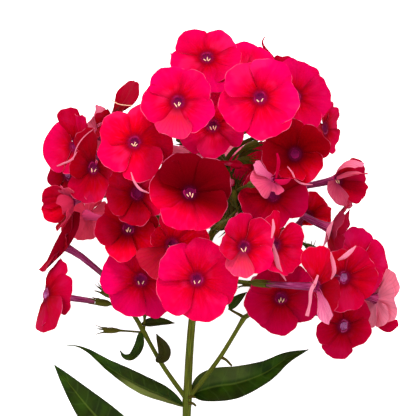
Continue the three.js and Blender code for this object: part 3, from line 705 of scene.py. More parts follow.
def leaf_material():
    """Deep green with a pale midrib and side veins, paler on the underside."""
    g = Graph("phlox_leaf", 0.5, 0.08)
    along, across, under, tone = g.value("along"), g.value("across"), g.value("under"), g.value("tone")
    width = g.math("ABSOLUTE", across)
    wander = g.times(g.noise(g.position(), 0.2), 1.2)
    course = g.math("SUBTRACT", g.times(along, 0.95), g.times(width, 4.4))
    side_veins = g.step(g.math("SINE", g.math("ADD", course, wander)), 0.8, 1.0)
    midrib = g.step(width, 0.02, 0.1, 1.0, 0.0)
    blotch = g.noise(g.position(), 0.16, 4.0)
    grain = g.noise(g.position(), 1.6, 4.0)
    face = g.mix(g.step(blotch, 0.35, 0.65), "142a00", "274200")
    face = g.mix(g.step(g.noise(g.position(), 0.05, 2.0), 0.45, 0.62, 0.0, 0.6), face, "1e2200")
    face = g.mix(g.step(width, 0.7, 1.0, 0.0, 0.55), face, "1a1e08")
    face = g.mix(g.times(side_veins, 0.07), face, "5d7a34")
    face = g.mix(g.times(midrib, 0.3), face, "667a2c")
    face = g.mix(g.value("pale"), face, "6a7638")
    back = g.mix(blotch, "5b6c2c", "7a8a48")
    back = g.mix(g.times(side_veins, 0.4), back, "93a062")
    skin = g.mix(under, face, back)
    skin = g.mix(tone, skin, "33280a")
    g.colour(skin)
    g.rough(g.step(grain, 0.3, 0.7, 0.38, 0.55))
    relief = g.math("SUBTRACT", g.times(grain, 0.5), g.math("ADD", side_veins, midrib))
    g.bump(relief, 0.12)
    g.glow_through(0.08, skin)
    return g.material


PETAL, TUBE, ANTHER = petal_material(), tube_material(), anther_material()
STEM, LEAF = stem_material(), leaf_material()


# ---- one floret
def smooth_step(x):
    x = np.clip(x, 0, 1)
    return x * x * (3 - 2 * x)


class Floret:
    """The plan of one floret. Its petals are counted round the eye from its right-hand side."""

    def __init__(self, number, throat, out, right, spin, width):
        self.number, self.index, self.throat = number, number - 1, throat
        self.out, self.right, self.up = out, right, np.cross(out, right)
        self.spin, self.width = spin, width
        self.rise = self.curl = self.sway = self.lift = self.crimson_and_shade = self.warm = 0
        self.pressed = False
        self.rim_half = PRESSED_RIM_HALF_DEG
        self.petals = [dict(PLAIN_PETAL) for k in range(PETALS)]
        self.eye = SMALL_EYES.get(self.number, 1.0)
        self.eye_pale = float(self.number in PALE_EYES)

    def grow(self, rise, curl, crimson_and_shade, warm):
        """Raises the petals and makes each one a little different from the next."""
        self.rise, self.curl, self.sway, self.lift = rise, curl, 1, PETAL_LIFT
        self.rim_half, self.crimson_and_shade, self.warm = RIM_HALF_DEG, crimson_and_shade, warm
        odd = ODD_PETALS.get(self.number, {})
        for k, petal in enumerate(self.petals):
            draws = [self.draw(200 + 10 * k + j) - 0.5 for j in range(6)]
            petal.update({name: five[k] for name, five in odd.items()})
            petal["long"] *= 0.99 + 0.1 * draws[0]
            petal["broad"] *= 1.0 + 0.12 * draws[1]
            petal["turn"] += 7 * draws[2]
            petal["rise"] += 10 * draws[3]
            petal["curl"] += 20 * draws[4]
            petal["twist"] += 16 * draws[5]

    def press(self):
        """Lays the petals on the floor, with their rims lifted here and there."""
        self.pressed, self.sway = True, PRESSED_SWAY
        for k, petal in enumerate(self.petals):
            draws = [self.draw(200 + 10 * k + j) - 0.5 for j in range(5)]
            petal["long"] = 0.97 + 0.1 * draws[0]
            petal["broad"] = 1.0 + 0.1 * draws[1]
            petal["turn"] = 5 * draws[2]
            petal["rise"] = -2 + 3 * draws[3]
            petal["curl"] = -16 + 20 * draws[4]

    def draw(self, k):
        """One of this floret's own random numbers. Each use has its own k."""
        return chance(self.index * 7.31 + k * 1.77 + 0.5)


def planned(number, u, v, w, yaw, pitch, spin, width, *growth):
    yaw, pitch = math.radians(yaw), math.radians(pitch)
    out = direction(math.sin(yaw) * math.cos(pitch), math.sin(pitch), math.cos(yaw) * math.cos(pitch))
    right = direction(math.cos(yaw), 0, -math.sin(yaw))
    floret = Floret(number, place((u, v, w)), out, right, spin, width)
    floret.grow(*growth)
    return floret


def pressed(number, x, y, spin, width):
    down, left = np.array([0.0, 0, -1]), np.array([-1.0, 0, 0])
    floret = Floret(number, np.array([x, y, PRESSED_HEIGHT]), down, left, spin, width)
    floret.press()
    return floret


florets = [planned(number, *row) for number, row in FLORETS.items()]
florets += [pressed(number, *row) for number, row in PRESSED.items()]

CYMES = [place(spots[-1]) for spots in BRANCHES.values()]
IDEAL_SPAN = 33  # the usual way from a cyme to a throat
FACING_COST = 22  # what a stalk that has to turn back costs against its length


def cyme_for(floret):
    """The tip of the branch that the floret grows from."""

    def cost(cyme):
        reach = floret.throat - cyme
        span = np.linalg.norm(reach)
        return abs(span - IDEAL_SPAN) + FACING_COST * (1 - reach.dot(floret.out) / span)

    return min(CYMES, key=cost)


STALK_BEND = 0.62  # how far behind the throat a stalk bends, as a share of its span
TUBE_SHARE = 0.62  # the most of a stalk that the floret's tube takes up
for floret in florets:
    cyme = cyme_for(floret)
    span = np.linalg.norm(floret.throat - cyme)
    floret.stalk = Line.arched(cyme, floret.throat - STALK_BEND * span * floret.out, floret.throat)
    longest = SHORT_TUBES.get(floret.number, TUBE_LENGTH)
    floret.tube_length = min(longest, TUBE_SHARE * floret.stalk.length)

SWAY_DEG = (4, 3)  # how much the limb tips one way, and how much it bends both ways
LIMB_STEPS = 8
PHASES = 6.28  # a random phase lies between 0 and this


def limb(floret, petal, share, angle):
    """How far out, how high and how steep the petals' surface is."""
    length = (floret.width / 2 - THROAT_RADIUS) * petal["long"]
    first, second = (PHASES * chance(floret.index + seed) for seed in (0.1, 0.2))
    sway = SWAY_DEG[0] * np.cos(angle - first) + SWAY_DEG[1] * np.cos(2 * angle - second)
    rise = np.radians(floret.rise + floret.sway * sway + petal["rise"])
    curl = math.radians(floret.curl + petal["curl"])
    reach, height = THROAT_RADIUS, 0.0
    for k in range(LIMB_STEPS):
        slope = rise + curl * share * (k + 0.5) / LIMB_STEPS
        reach = reach + length * share * np.cos(slope) / LIMB_STEPS
        height = height + length * share * np.sin(slope) / LIMB_STEPS
    return reach, height, rise + curl * share


PETAL_ROWS, PETAL_COLUMNS = 20, 25
PETAL_START = 0.05  # the petal's own share of its length where it leaves the throat's lip
THICK_AT_BASE, THICK_AT_RIM = 0.36, 0.2
# the rim, in shares of the petal's length
SHOULDER, SHOULDER_RANGE = 0.33, 0.2  # how far the rounded shoulders fall short of the tip
ROUNDNESS = 2.15
RIM_WAVE, RIM_CRINKLE, RIM_SKEW = 0.027, 0.013, 0.05
NOTCH, NOTCH_FROM, NOTCH_WIDTH = 0.07, 0.4, 0.2
# the relief of the petal's surface, in millimetres
ARCH, ARCH_RANGE = 0.2, 1.2
FOLD, FOLD_WIDTH = 0.4, 0.15  # the groove along the middle; its width is a share of the petal's
PLEATS, FRILL, FINE_FRILL = 0.16, 0.8, 0.25
ROLL_RANGE, ROLL_DOWN = 1.8, 1.1


def rim_line(floret, k, across):
    """How far the rim reaches, as a share of the petal's length, from its left to its right."""
    draws = [floret.draw(10 * k + j) for j in range(4)]
    shoulder = (1 - np.abs(across) ** ROUNDNESS) ** (1 / ROUNDNESS)
    rim = 1 - (SHOULDER + SHOULDER_RANGE * (draws[0] - 0.5)) * (1 - shoulder)
    wave = RIM_WAVE * np.sin(5 * across + PHASES * draws[1])
    crinkle = RIM_CRINKLE * np.sin(13 * across + PHASES * draws[2])
    rim = rim + wave + crinkle + RIM_SKEW * (floret.draw(130 + k) - 0.5) * across
    return rim - NOTCH * max(0, draws[3] - NOTCH_FROM) * np.exp(-((across / NOTCH_WIDTH) ** 2))


def petal_grid(floret, k, offset, rows, columns):
    """Points of one petal at an offset from its middle surface, how far out each one is, how far
    across the petal from -1 to 1, and how far it is from the rim."""
    petal = floret.petals[k]
    share, across = np.meshgrid(rows, columns, indexing="ij")
    draws = [floret.draw(10 * k + j) for j in range(4, 8)]
    reach_share = share * rim_line(floret, k, across)
    breadth = 1 + (petal["broad"] - 1) * smooth_step(share / WAIST)
    half = np.radians(BASE_HALF_DEG + (floret.rim_half - BASE_HALF_DEG) * smooth_step((share - 0.2) / 0.8))
    aside = across * half * breadth
    middle = math.radians(floret.spin + (360 / PETALS) * k + petal["turn"])
    reach, height, slope = limb(floret, petal, reach_share, middle + aside)
    above = offset + floret.lift * across * smooth_step(share / 0.8)
    arch = (ARCH + ARCH_RANGE * draws[0]) * (1 - across**2)
    arch = arch * np.sin(math.pi * np.minimum(share, 0.9) / 1.8) * share
    fold = -FOLD * np.exp(-((across / FOLD_WIDTH) ** 2)) * np.sin(math.pi * share)
    fold = fold + PLEATS * np.sin(9 * across + PHASES * floret.draw(140 + k)) * np.sin(math.pi * share) ** 2
    frill = FRILL * np.sin(4.5 * across + PHASES * draws[1]) * share**3
    frill = frill + FINE_FRILL * np.sin(11 * across + PHASES * draws[2]) * share**6
    roll = (ROLL_RANGE * draws[3] - ROLL_DOWN) * smooth_step((share - 0.65) / 0.35)
    above = above + floret.sway * (arch + fold + frill + roll)
    out_by = reach - above * np.sin(slope)
    up_by = height + above * np.cos(slope)
    middle_up = up_by[:, len(columns) // 2, None]
    twist = math.radians(petal["twist"]) * smooth_step(share / 0.5)
    sideways = out_by * np.sin(aside)
    over = up_by - middle_up
    spoke = floret.right * math.cos(middle) + floret.up * math.sin(middle)
    side = floret.up * math.cos(middle) - floret.right * math.sin(middle)
    points = (
        floret.throat
        + spoke * (out_by * np.cos(aside))[..., None]
        + side * (sideways * np.cos(twist) - over * np.sin(twist))[..., None]
        + floret.out * (middle_up + sideways * np.sin(twist) + over * np.cos(twist))[..., None]
    )
    from_rim = (1 - share) * floret.width / 2 + 0.6 * smooth_step((np.abs(across) - 0.8) / 0.15)
    return points, reach_share * (floret.width / 2) * petal["long"] + THROAT_RADIUS, across, from_rim


def tone_with_painted_shade(floret, points, tone):
    """How deep the crimson is at each point, with the painted shade that lightens across the floret."""
    towards, fall, start, end = PAINTED_SHADE_ACROSS.get(floret.number, (0, 0, 0, 1))
    towards = math.radians(towards)
    way = floret.right * math.cos(towards) + floret.up * math.sin(towards)
    gone = (points - floret.throat) @ way / (floret.width / 2)
    return np.maximum(tone - fall * smooth_step((gone - start) / (end - start)), 0)


def add_petals(form, floret):
    rows = PETAL_START + (1 - PETAL_START) * np.sin(np.linspace(0, math.pi / 2, PETAL_ROWS)) ** 1.15
    columns = np.sin(np.linspace(-math.pi / 2, math.pi / 2, PETAL_COLUMNS))
    thick = THICK_AT_BASE + (THICK_AT_RIM - THICK_AT_BASE) * rows[:, None]
    for k, petal in enumerate(floret.petals):
        # the tone is the deeper crimson of the floret and petal, partly painted shade, with a little random
        # spread
        tone = floret.crimson_and_shade + petal["crimson_and_shade"] + 0.12 * (floret.draw(100 + k) - 0.3)
        warm = floret.warm + 0.5 * (floret.draw(110 + k) - 0.4)
        sides = []
        for under in (0, 1):
            offset = thick / 2 * (1 - 2 * under)
            points, along, across, from_rim = petal_grid(floret, k, offset, rows, columns)
            if floret.pressed:
                points[..., 2] = np.maximum(points[..., 2], FLOOR_GAP + THICK_AT_RIM * under)
            values = dict(along=along, across=across, under=under, rim=from_rim)
            values["tone"] = tone_with_painted_shade(floret, points, tone)
            sides.append(form.add(points, warm=warm, pale=petal["pale"], **values))
        form.sheet(*sides, slot=0)


# the tube's outside, from just under the petals: how far back it is and its radius
TUBE_SKIN = [(0.0, 2.7), (0.6, 2.55), (1.5, 2.3), (3.0, 2.0), (6.0, 1.75), (11.0, 1.6)]
TUBE_FOOT_RADIUS = 1.3
SEAT_GAP = 0.3
# the mouth, from the lip inwards: how far in front of the petals' base it is and its radius
LIP = [(0.0, 2.9), (0.22, 2.65), (0.18, 2.35), (-0.15, 2.05), (-0.6, 1.7), (-1.0, 1.2), (-1.2, 0.6)]
TUBE_SIDES = 20


def ring_round(floret, radius, height):
    """A ring in the mouth, faintly five-sided. Pale eyes are seen from the side, so are narrower."""
    angle = np.radians(floret.spin) + angles_round(TUBE_SIDES)
    star = 1 + 0.05 * np.cos(PETALS * angles_round(TUBE_SIDES))
    narrow, tall = 1 - 0.28 * floret.eye_pale, 1 + 0.08 * floret.eye_pale
    spokes = floret.right * narrow * np.cos(angle)[:, None] + floret.up * tall * np.sin(angle)[:, None]
    return floret.throat + spokes * radius * star[:, None] + floret.out * height


def add_tube(form, floret):
    """The lip, the funnel inside it, and the tube that runs back to the calyx."""
    angle = angles_round(TUBE_SIDES)
    whole, length = floret.stalk.length, floret.tube_length - SEAT_GAP
    inner = [ring_round(floret, radius * floret.eye, height) for height, radius in LIP]
    depths = np.array([[0.3 - height] for height, _ in LIP])
    look = dict(under=1.0, pale=floret.eye_pale)
    inside = form.add(np.array(inner), along=depths, across=angle[None], **look)
    form.grid(inside, slot=1, wrap=True)
    form.fan(inside[-1], floret.throat + floret.out * LIP[-1][0], slot=1, along=1.4, **look)
    skin = [pair for pair in TUBE_SKIN if pair[0] < length - 1] + [(length, TUBE_FOOT_RADIUS)]
    back = np.array([pair[0] for pair in skin])
    radii = np.array([pair[1] for pair in skin]) * (1 - (1 - floret.eye) * np.exp(-back / 3))
    centres, tangents = floret.stalk.at(1 - back / whole), floret.stalk.tangents(1 - back / whole)
    spin = np.radians(floret.spin)
    first = floret.right * math.cos(spin) + floret.up * math.sin(spin)
    side, other = square_to(tangents, first)
    rings = centres[:, None] + wheel(side, other, angle) * radii[:, None, None]
    pink = float(floret.number in PINK_TUBES)
    outside = form.add(rings, along=back[:, None], across=angle[None], pale=pink)
    form.grid(outside, slot=1, wrap=True)
    form.grid(np.stack([inside[0], outside[0]]), slot=1, wrap=True)
    form.fan(outside[-1], centres[-1], slot=1, along=length)


ANTHER_LENGTH, ANTHER_RADIUS = 2.1, 0.25
ANTHER_SHARES = (0.02, 0.12, 0.35, 0.65, 0.88, 0.98)
ANTHER_PROFILE = np.array([0.45, 0.85, 1.0, 0.95, 0.8, 0.4])
# where each of them lies: to the right of the throat, below it, and its lean in degrees
ANTHERS = [(-0.95, 1.25, -32), (0.95, 1.2, 32), (0.05, 0.7, 4)]


def add_anthers(form, floret):
    """Two or three anthers that lean out of the lower side of the mouth."""
    count = 3 if floret.draw(50) > 0.45 else 2
    for k, (aside, down, lean) in enumerate(ANTHERS[:count]):
        aside = aside + 0.4 * (floret.draw(51 + k) - 0.5)
        lean = math.radians(lean + 34 * (floret.draw(55 + k) - 0.5))
        down = down + 0.4 * (floret.draw(58 + k) - 0.5)
        middle = floret.throat + floret.eye * (aside * floret.right - down * floret.up) + floret.out * 0.15
        way = unit(floret.up * math.cos(lean) + floret.right * math.sin(lean) - 0.2 * floret.out)
        half = floret.eye * ANTHER_LENGTH / 2 * (0.7 + 0.45 * floret.draw(60 + k))
        line = Line(np.array([middle - way * half, middle, middle + way * half]))
        form.tube(line, ANTHER_SHARES, floret.eye * ANTHER_RADIUS * ANTHER_PROFILE, 7, slot=2)


# rims that are rolled up and petals that are drawn out thin: the floret, how deep its crimson
# is, partly painted shade, and how pale its colour is, its radii at even steps along it, and its line
ROLLS = [
    (39, 0.45, 0, [1.3, 1, 0.7, 0.4, 0.15],
     [(30.2, 64.9, 12), (28.3, 67.6, 13), (25.9, 70.8, 14), (25.2, 73.1, 14), (26.9, 76.4, 13)]),
    (13, 0, 0.8, [0.15, 0.5, 0.6, 0.2],
     [(-34.1, 12.1, 55), (-32.8, 8.2, 55), (-30.1, 4.6, 55), (-26.1, 2.8, 55)]),
    (41, 0, 0.4, [1, 2.2, 2, 0.6],
     [(-19.2, 22.4, 35), (-16, 22.4, 36), (-12, 21.9, 36), (-8.5, 21, 35)]),
    (16, 0, 0.6, [0.15, 0.25, 0.25, 0.15],
     [(-51.4, 32.6, 31), (-56.6, 28.6, 28), (-59.9, 24.1, 26), (-61.8, 18.2, 25)]),
    (15, 0, 0.6, [0.2, 0.45, 0.5, 0.2],
     [(-72.5, 14.9, 4.5), (-68, 16.7, 8), (-63.6, 18.5, 11), (-60.7, 22.2, 13)]),
    (7, 0, 0.5, [0.2, 0.4, 0.4, 0.2],
     [(35.4, 14.6, 50), (37.4, 12, 51), (38.9, 8.9, 51), (42, 7, 51), (46.6, 6.6, 50)]),
    (10, 0.1, 0, [0.4, 0.8, 0.7, 0.4],
     [(30.2, 20.3, 64), (30.9, 17.2, 64), (30.7, 13.8, 63), (29.9, 9.4, 62)]),
    (10, 0, 0, [0.4, 1.3, 1.2, 0.4],
     [(29.4, 8.5, 62), (32.1, 7.6, 61), (34.3, 7.9, 60), (36.4, 9, 59)]),
    (20, 0.8, 0, [1.5, 3, 3.4, 2.9, 1.7, 0.6],
     [(-61, -5.7, 9), (-62.4, -10.3, 8), (-65.3, -15.9, 7),
      (-69.1, -22, 6), (-73.4, -28.1, 5), (-77.2, -33.3, 4)]),
    (26, 0, 0.8, [0.3, 0.8, 0.3],
     [(28.7, -8.7, 56), (28.9, -12.6, 57), (28.1, -17.1, 57)]),
    (27, 0.1, 0.5, [0.5, 1.2, 0.9, 0.2],
     [(29.1, -19.9, 44), (30.4, -25.3, 45), (31.8, -30.7, 44), (35.1, -36.6, 41)]),
    (34, 0.1, 0.8, [0.3, 1.1, 0.9, 0.2],
     [(57, -9.7, 28), (55.1, -13.8, 29), (54.2, -17.5, 29), (52.5, -21.6, 28)]),
    (29, 0, 0.8, [0.4, 0.9, 0.8, 0.6, 0.9],
     [(49.1, -33.7, 48), (47.7, -37.2, 49), (45.9, -40.8, 49), (45.5, -46.2, 48), (44.2, -52, 47)]),
    (32, 0.1, 0, [0.8, 2.8, 3.4, 1.6],
     [(78.5, -55.2, -6), (81, -57.4, -5), (84.9, -59.2, -3), (89.3, -57.8, -1)]),
    (30, 0, 0.9, [0.4, 1.1, 1, 0.2],
     [(59, -27.4, 33), (62.1, -25.6, 34), (65.3, -22.8, 34), (67.1, -21, 33)]),
    (30, 0.1, 0.5, [0.5, 0.9, 1, 0.3],
     [(55.1, -23.7, 37), (56.4, -28.2, 38), (56.9, -32.7, 38), (55.6, -35.9, 37)]),
]
ROLL_FLATNESS = 0.4  # how thick a roll is across, as a share of its width
ROLL_LOOK = dict(along=11.0, rim=5.0)  # the part of a petal's face that its colour is taken from
FILAMENTS = {36: [(-44.8, 46.5, 12), (-42, 44.6, 13), (-38.5, 43.8, 14), (-35, 43.6, 15)]}
FILAMENT_RADIUS = 0.22


def add_roll(form, tone, pale, radii, spots):
    line = Line.planned(spots)
    shares = np.linspace(0, 1, 20)
    wide = np.interp(shares, np.linspace(0, 1, len(radii)), radii)
    first = np.cross(line.tangents(0.5)[0], W_AXIS)

    def flattened(shares, angle):
        return 1 / np.sqrt(np.cos(angle) ** 2 + (np.sin(angle) / ROLL_FLATNESS) ** 2) + 0 * shares

    look = dict(under=float(pale > 0), tone=tone, pale=pale, **ROLL_LOOK)
    form.tube(line, shares, wide, 16, first=first, shape=flattened, **look)


def make_floret(floret):
    form = Form()
    for number, *roll in ROLLS:
        if number == floret.number:
            add_roll(form, *roll)
    if floret.number in FILAMENTS:
        shares = np.linspace(0, 1, 14)
        radii = FILAMENT_RADIUS * (1 + 0.8 * np.exp(-((shares / 0.08) ** 2)))
        form.tube(Line.planned(FILAMENTS[floret.number]), shares, radii, 8, slot=2)
    add_petals(form, floret)
    add_tube(form, floret)
    if not (floret.pressed or floret.eye_pale or floret.number in DEEP_ANTHERS):
        add_anthers(form, floret)
    number = f"{floret.number:02d}"
    form.piece("floret_" + number, [PETAL, TUBE, ANTHER], ["bloom_" + number])


# ---- green parts
CALYX_LENGTH = 7
CALYX_SHARES = np.array([0, 0.06, 0.16, 0.35, 0.6, 0.85, 1.0])
CALYX_RADII = (0.8, 1.15, 1.45, 1.65, 1.68, 1.6, 1.5)
BARE_CALYX_SHARES = (0, 0.2, 0.4, 0.55, 0.64, 0.74, 0.86, 0.94)
BARE_CALYX_RADII = np.array([0.7, 0.62, 0.6, 0.75, 1.4, 1.85, 1.75, 1.5])
PEDICEL_RADIUS = 0.62
TEETH = 5
TOOTH_RADII = (0.62, 0.42, 0.27, 0.16, 0.07)


def calyx_ribs(shares, angle):
    return 1 + 0.07 * np.cos(TEETH * 2 * angle) + 0 * shares


def add_teeth(form, line, share, radius, reach, spread, seed, tone):
    """The calyx's thread-like teeth, from its mouth forwards along the line."""
    centre, tangent = line.at(share)[0], line.tangents(share)[0]
    side, other = square_to([tangent], any_side(tangent))
    for k in range(TEETH):
        turn = 2 * math.pi * (k + 0.3 * chance(seed + k)) / TEETH
        spoke = side[0] * math.cos(turn) + other[0] * math.sin(turn)
        root = centre - tangent * 1.6 + spoke * radius * 0.92
        bend = spread * (0.6 + 0.8 * chance(seed + 3.3 * k + 1))
        long = reach * (0.75 + 0.5 * chance(seed + 1.7 * k + 2))
        half_way = root + tangent * long * 0.5 + spoke * 0.25 * bend
        tooth = Line.through([root, half_way, root + tangent * long + spoke * bend])
        form.tube(tooth, np.linspace(0, 1, len(TOOTH_RADII)), TOOTH_RADII, 5, tone=tone)


def add_calyx(form, floret):
    whole = floret.stalk.length
    mouth = 1 - floret.tube_length / whole
    base = max(0.12, mouth - CALYX_LENGTH / whole)
    pedicel = np.linspace(0, base, 6, endpoint=False)
    shares = np.concatenate([pedicel, base + (mouth - base) * CALYX_SHARES])
    radii = np.concatenate([np.full(len(pedicel), PEDICEL_RADIUS), CALYX_RADII])
    tone = 0.25 + 0.5 * floret.draw(80)
    form.tube(floret.stalk, shares, radii, 16, shape=calyx_ribs, tone=tone)
    add_teeth(form, floret.stalk, mouth, 1.5, 5.0, 0.5, floret.index, tone)


def add_bare_calyx(form, spots, seed, tone, swelling):
    line = Line.planned(spots)
    form.tube(line, BARE_CALYX_SHARES, swelling * BARE_CALYX_RADII, 14, shape=calyx_ribs, tone=tone)
    add_teeth(form, line, BARE_CALYX_SHARES[-1], 1.5 * swelling, 5.5, 1.8, 40 + seed, tone)


def make_calyces():
    form = Form()
    for floret in florets:
        add_calyx(form, floret)
    for k, spots in enumerate(BARE_CALYCES):
        add_bare_calyx(form, spots, k, 0.8, 0.75)
    for k, spots in enumerate(HEART_CALYCES):
        add_bare_calyx(form, spots, 10 + k, 0.2 + 0.7 * chance(k + 0.3), 0.95)
    form.piece("calyces", [STEM])


BUD_SHARES = (0, 0.06, 0.2, 0.4, 0.6, 0.78, 0.9, 0.97, 1.0)
BUD_RADII = (0.7, 0.85, 0.95, 1.3, 1.9, 2.0, 1.5, 0.8, 0.2)
BUD_BOW = 0.6  # how far a bud's line bows out at its middle


def bud_twist(shares, angle):
    """The petals of a bud are wound round each other."""
    return 1 + 0.08 * np.cos(PETALS * angle + 9 * shares)


def make_buds():
    form = Form()
    for start, tip in HEART_BUDS:
        middle = (place(start) + place(tip)) / 2 + BUD_BOW * W_AXIS
        line = Line.through([place(start), middle, place(tip)])
        form.tube(line, BUD_SHARES, BUD_RADII, 20, shape=bud_twist, along=9.0)
    form.piece("buds", [PETAL])


def stem_swelling(v):
    """The stem is thicker at the nodes where the leaves grow."""
    return 1 + sum(0.16 * np.exp(-(((v - node) / 3.5) ** 2)) for node in LEAF_NODES)


def stem_ridges(shares, angle):
    return 1 + 0.03 * np.cos(4 * angle + 6 * shares) + 0.012 * np.cos(9 * angle)


def make_stem():
    form = Form()
    line = Line.planned(MAIN_STEM)
    shares = np.linspace(0, 1, 90)
    heights = (line.at(shares) - ORIGIN) @ V_AXIS
    radii = STEM_RADIUS * (1 - 0.45 * shares**2) * stem_swelling(heights)
    form.tube(line, shares, radii, 28, shape=stem_ridges)
    form.piece("main_stem", [STEM], ["stem_and_calyces"])

    form = Form()
    shares = np.linspace(0, 1, 24)
    radii = BRANCH_RADIUS * (1.2 - 0.25 * shares) + 0.35 * np.exp(-(((shares - 1) / 0.08) ** 2))
    for k, spots in enumerate(BRANCHES.values()):
        form.tube(Line.planned(spots), shares, radii, 14, tone=0.1 + 0.5 * chance(k + 0.7))
    for spots in STUBS:
        form.tube(Line.planned(spots), np.linspace(0, 1, 8), np.linspace(0.85, 0.5, 8), 10, tone=0.9)
    form.piece("branches", [STEM])


LEAF_THICK = 0.4
LEAF_ROWS, LEAF_COLUMNS = 70, 29


def add_blade(form, line, faces, width, broadest, pointed, fold, wave, tone=0, rolled=0, rows=LEAF_ROWS):
    """A thin arched blade, folded up along its midrib and waved at its edges. rolled paints its
    lower half the paler green of the underside; the blade itself is not rolled."""
    curve = Line.planned(line)
    upper = direction(*faces)
    share = np.linspace(0, 1, rows)
    centres, tangents = curve.at(share), curve.tangents(share)
    side = np.cross(tangents, upper)
    side /= np.linalg.norm(side, axis=1)[:, None]
    normal = np.cross(side, tangents)
    grown = np.maximum(0, np.sin(math.pi * share**broadest)) ** pointed
    half = np.maximum.reduce([width / 2 * grown, 0.08 * width * (1 - share), 0.25 + 0 * share])[:, None]
    across = np.linspace(-1, 1, LEAF_COLUMNS)[None]
    fold = math.radians(fold)
    soft = np.sqrt(across**2 + 0.01) - 0.1  # the fold is rounded at the midrib
    lift = soft * half * math.sin(fold)
    ripple = wave * across * np.abs(across) * np.sin(9 * share[:, None] + 2 * across) * grown[:, None]
    fade = np.minimum(1, half / 3)  # no veins where the blade is narrow
    veins = 0.05 * np.sin(0.95 * curve.length * share[:, None] - 4.4 * np.abs(across)) * fade
    rib = -0.25 * np.exp(-((across / 0.07) ** 2)) * fade
    sides = []
    for under in (0, 1):
        thick = LEAF_THICK / 2 * (1 - 2 * under) * (1 - 0.5 * across**4)
        points = centres[:, None] + side[:, None] * (across * half * math.cos(fold))[..., None]
        points = points + normal[:, None] * (lift + ripple + veins + rib + thick)[..., None]
        points[..., 2] = np.maximum(points[..., 2], FLOOR_GAP + LEAF_THICK * (1 - under))
        along = share[:, None] * curve.length
        pale = rolled * smooth_step((-0.1 - across) / 0.2) * smooth_step((0.6 - share[:, None]) / 0.2)
        sides.append(form.add(points, along=along, across=across, under=under, tone=tone, pale=pale))
    form.sheet(*sides)


LEAVES = {
    "leaf_upper_left": dict(
        line=[(-10.8, -97.4, 0), (-20, -92.5, 1.6), (-32, -87, 4), (-46, -78.5, 7), (-56, -70.5, 9),
              (-61, -68.2, 9), (-66, -67.6, 9)],
        faces=(0.3, 0.62, 0.72), width=12, broadest=0.62, pointed=1.4, fold=24, wave=0.5, rolled=1,
    ),
    "leaf_upper_right": dict(
        line=[(-7.4, -91.2, -1.6), (3, -88, -3), (14, -86.2, -2), (27, -81, 2), (37, -74, 5), (47, -69.9, 6)],
        faces=(-0.1, 0.35, 0.93), width=17.5, broadest=0.5, pointed=0.9, fold=20, wave=0.7, rolled=0.25,
    ),
    "leaf_lower_left": dict(
        line=[(-13.6, -134, 0), (-32, -121, 8), (-54, -98, 13), (-71, -76.5, 15)],
        faces=(0.3, 0.25, 0.92), width=21, broadest=0.72, pointed=0.85, fold=8, wave=0.8,
    ),
    "leaf_lower_right": dict(
        line=[(-7.4, -134, 0), (6, -140, -3), (32, -142, -5), (58, -134, -7)],
        faces=(0.05, -0.25, 0.96), width=21, broadest=0.72, pointed=0.85, fold=0, wave=0.4,
    ),
}
BRACT_FORM = dict(broadest=0.72, pointed=0.85, fold=14, wave=0.2, rows=24)
# the small leaves on the low branches: line, which way each faces, width and how brown it is
BRACTS = [
    ([(-31, -58, 4), (-24, -57, 6), (-15.5, -57.5, 7)], (0, 0.5, 0.86), 5, 0.5),
    ([(-24, -76, 3), (-20.6, -72, 6), (-24, -62.5, 8)], (0.5, 0, 0.86), 7, 0.7),
    ([(-31.5, -61.5, 4), (-32, -68, 5.5), (-35.5, -73.3, 6.5), (-39, -73, 7), (-41, -70.3, 7)],
     (-0.4, 0.3, 0.86), 5.2, 0.05),
    ([(10, -51, 5), (13, -47, 7), (18, -43, 8)], (-0.3, -0.3, 0.9), 4.5, 0.1),
]


def make_leaves():
    for name, leaf in LEAVES.items():
        form = Form()
        add_blade(form, **leaf)
        form.piece(name + "_blade", [LEAF], [name])
    form = Form()
    for line, faces, width, tone in BRACTS:
        add_blade(form, line, faces, width, tone=tone, **BRACT_FORM)
    form.piece("bracts", [LEAF])


# ---- floor, light and camera
VIEW_SPAN = 195.5  # width of the picture at the plant, in millimetres
VIEW_DISTANCE = 950
VIEW_DOWN = -3.8  # the picture's centre lies this far along v
SENSOR = 36
FLOOR_HALF = 6.0  # metres


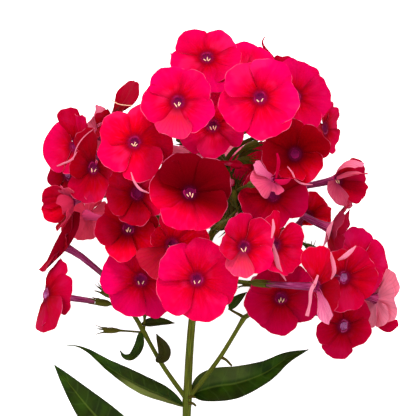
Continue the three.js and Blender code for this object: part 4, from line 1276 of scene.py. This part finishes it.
def make_floor():
    mesh = bpy.data.meshes.new("floor")
    corners = [(x * FLOOR_HALF, y * FLOOR_HALF, 0) for x, y in ((-1, -1), (1, -1), (1, 1), (-1, 1))]
    mesh.from_pydata(corners, [], [(0, 1, 2, 3)])
    floor = new_object("floor", mesh)
    g = Graph("pale_floor", 0.9, 0.0)
    g.colour(srgb("f4f4f4"))
    seen = g.node("LightPath", "Is Camera Ray", {})
    g.shader.inputs["Emission Color"].default_value = (1, 1, 1, 1)
    g.put(g.times(seen, 0.75), g.shader.inputs["Emission Strength"])
    mesh.materials.append(g.material)


def area_light(name, spot, size, watts):
    """A round lamp at a place in the plant's axes, aimed at the head. Its size is in metres."""
    light = bpy.data.lights.new(name, "AREA")
    light.shape = "DISK"
    light.size = size
    light.energy = watts
    made = new_object(name, light)
    made.location = Vector(place(spot) * MM)
    aim = Vector(ORIGIN * MM) - made.location
    made.rotation_mode = "QUATERNION"
    made.rotation_quaternion = aim.to_track_quat("-Z", "Y")


def make_camera():
    camera = bpy.data.cameras.new("camera")
    camera.sensor_width = SENSOR
    camera.lens = SENSOR * VIEW_DISTANCE / VIEW_SPAN
    made = new_object("camera", camera)
    turn = Matrix([Vector(U_AXIS), Vector(V_AXIS), Vector(W_AXIS)]).transposed().to_4x4()
    made.matrix_world = Matrix.Translation(Vector(place((0, VIEW_DOWN, VIEW_DISTANCE)) * MM)) @ turn
    bpy.context.scene.camera = made


def make_stage():
    make_floor()
    area_light("key", (30, 700, 640), 0.3, 6.4)
    area_light("fill", (-500, 50, 700), 0.9, 3.8)
    area_light("side", (560, -40, 640), 0.9, 3.0)
    world = bpy.data.worlds.new("studio")
    world.use_nodes = True
    background = world.node_tree.nodes["Background"]
    background.inputs["Color"].default_value = (1, 1, 1, 1)
    background.inputs["Strength"].default_value = 0.56
    bpy.context.scene.world = world
    bpy.context.scene.view_settings.view_transform = "Standard"
    make_camera()


# ---- the whole plant
for floret in florets:
    make_floret(floret)
make_calyces()
make_buds()
make_stem()
make_leaves()
make_stage()
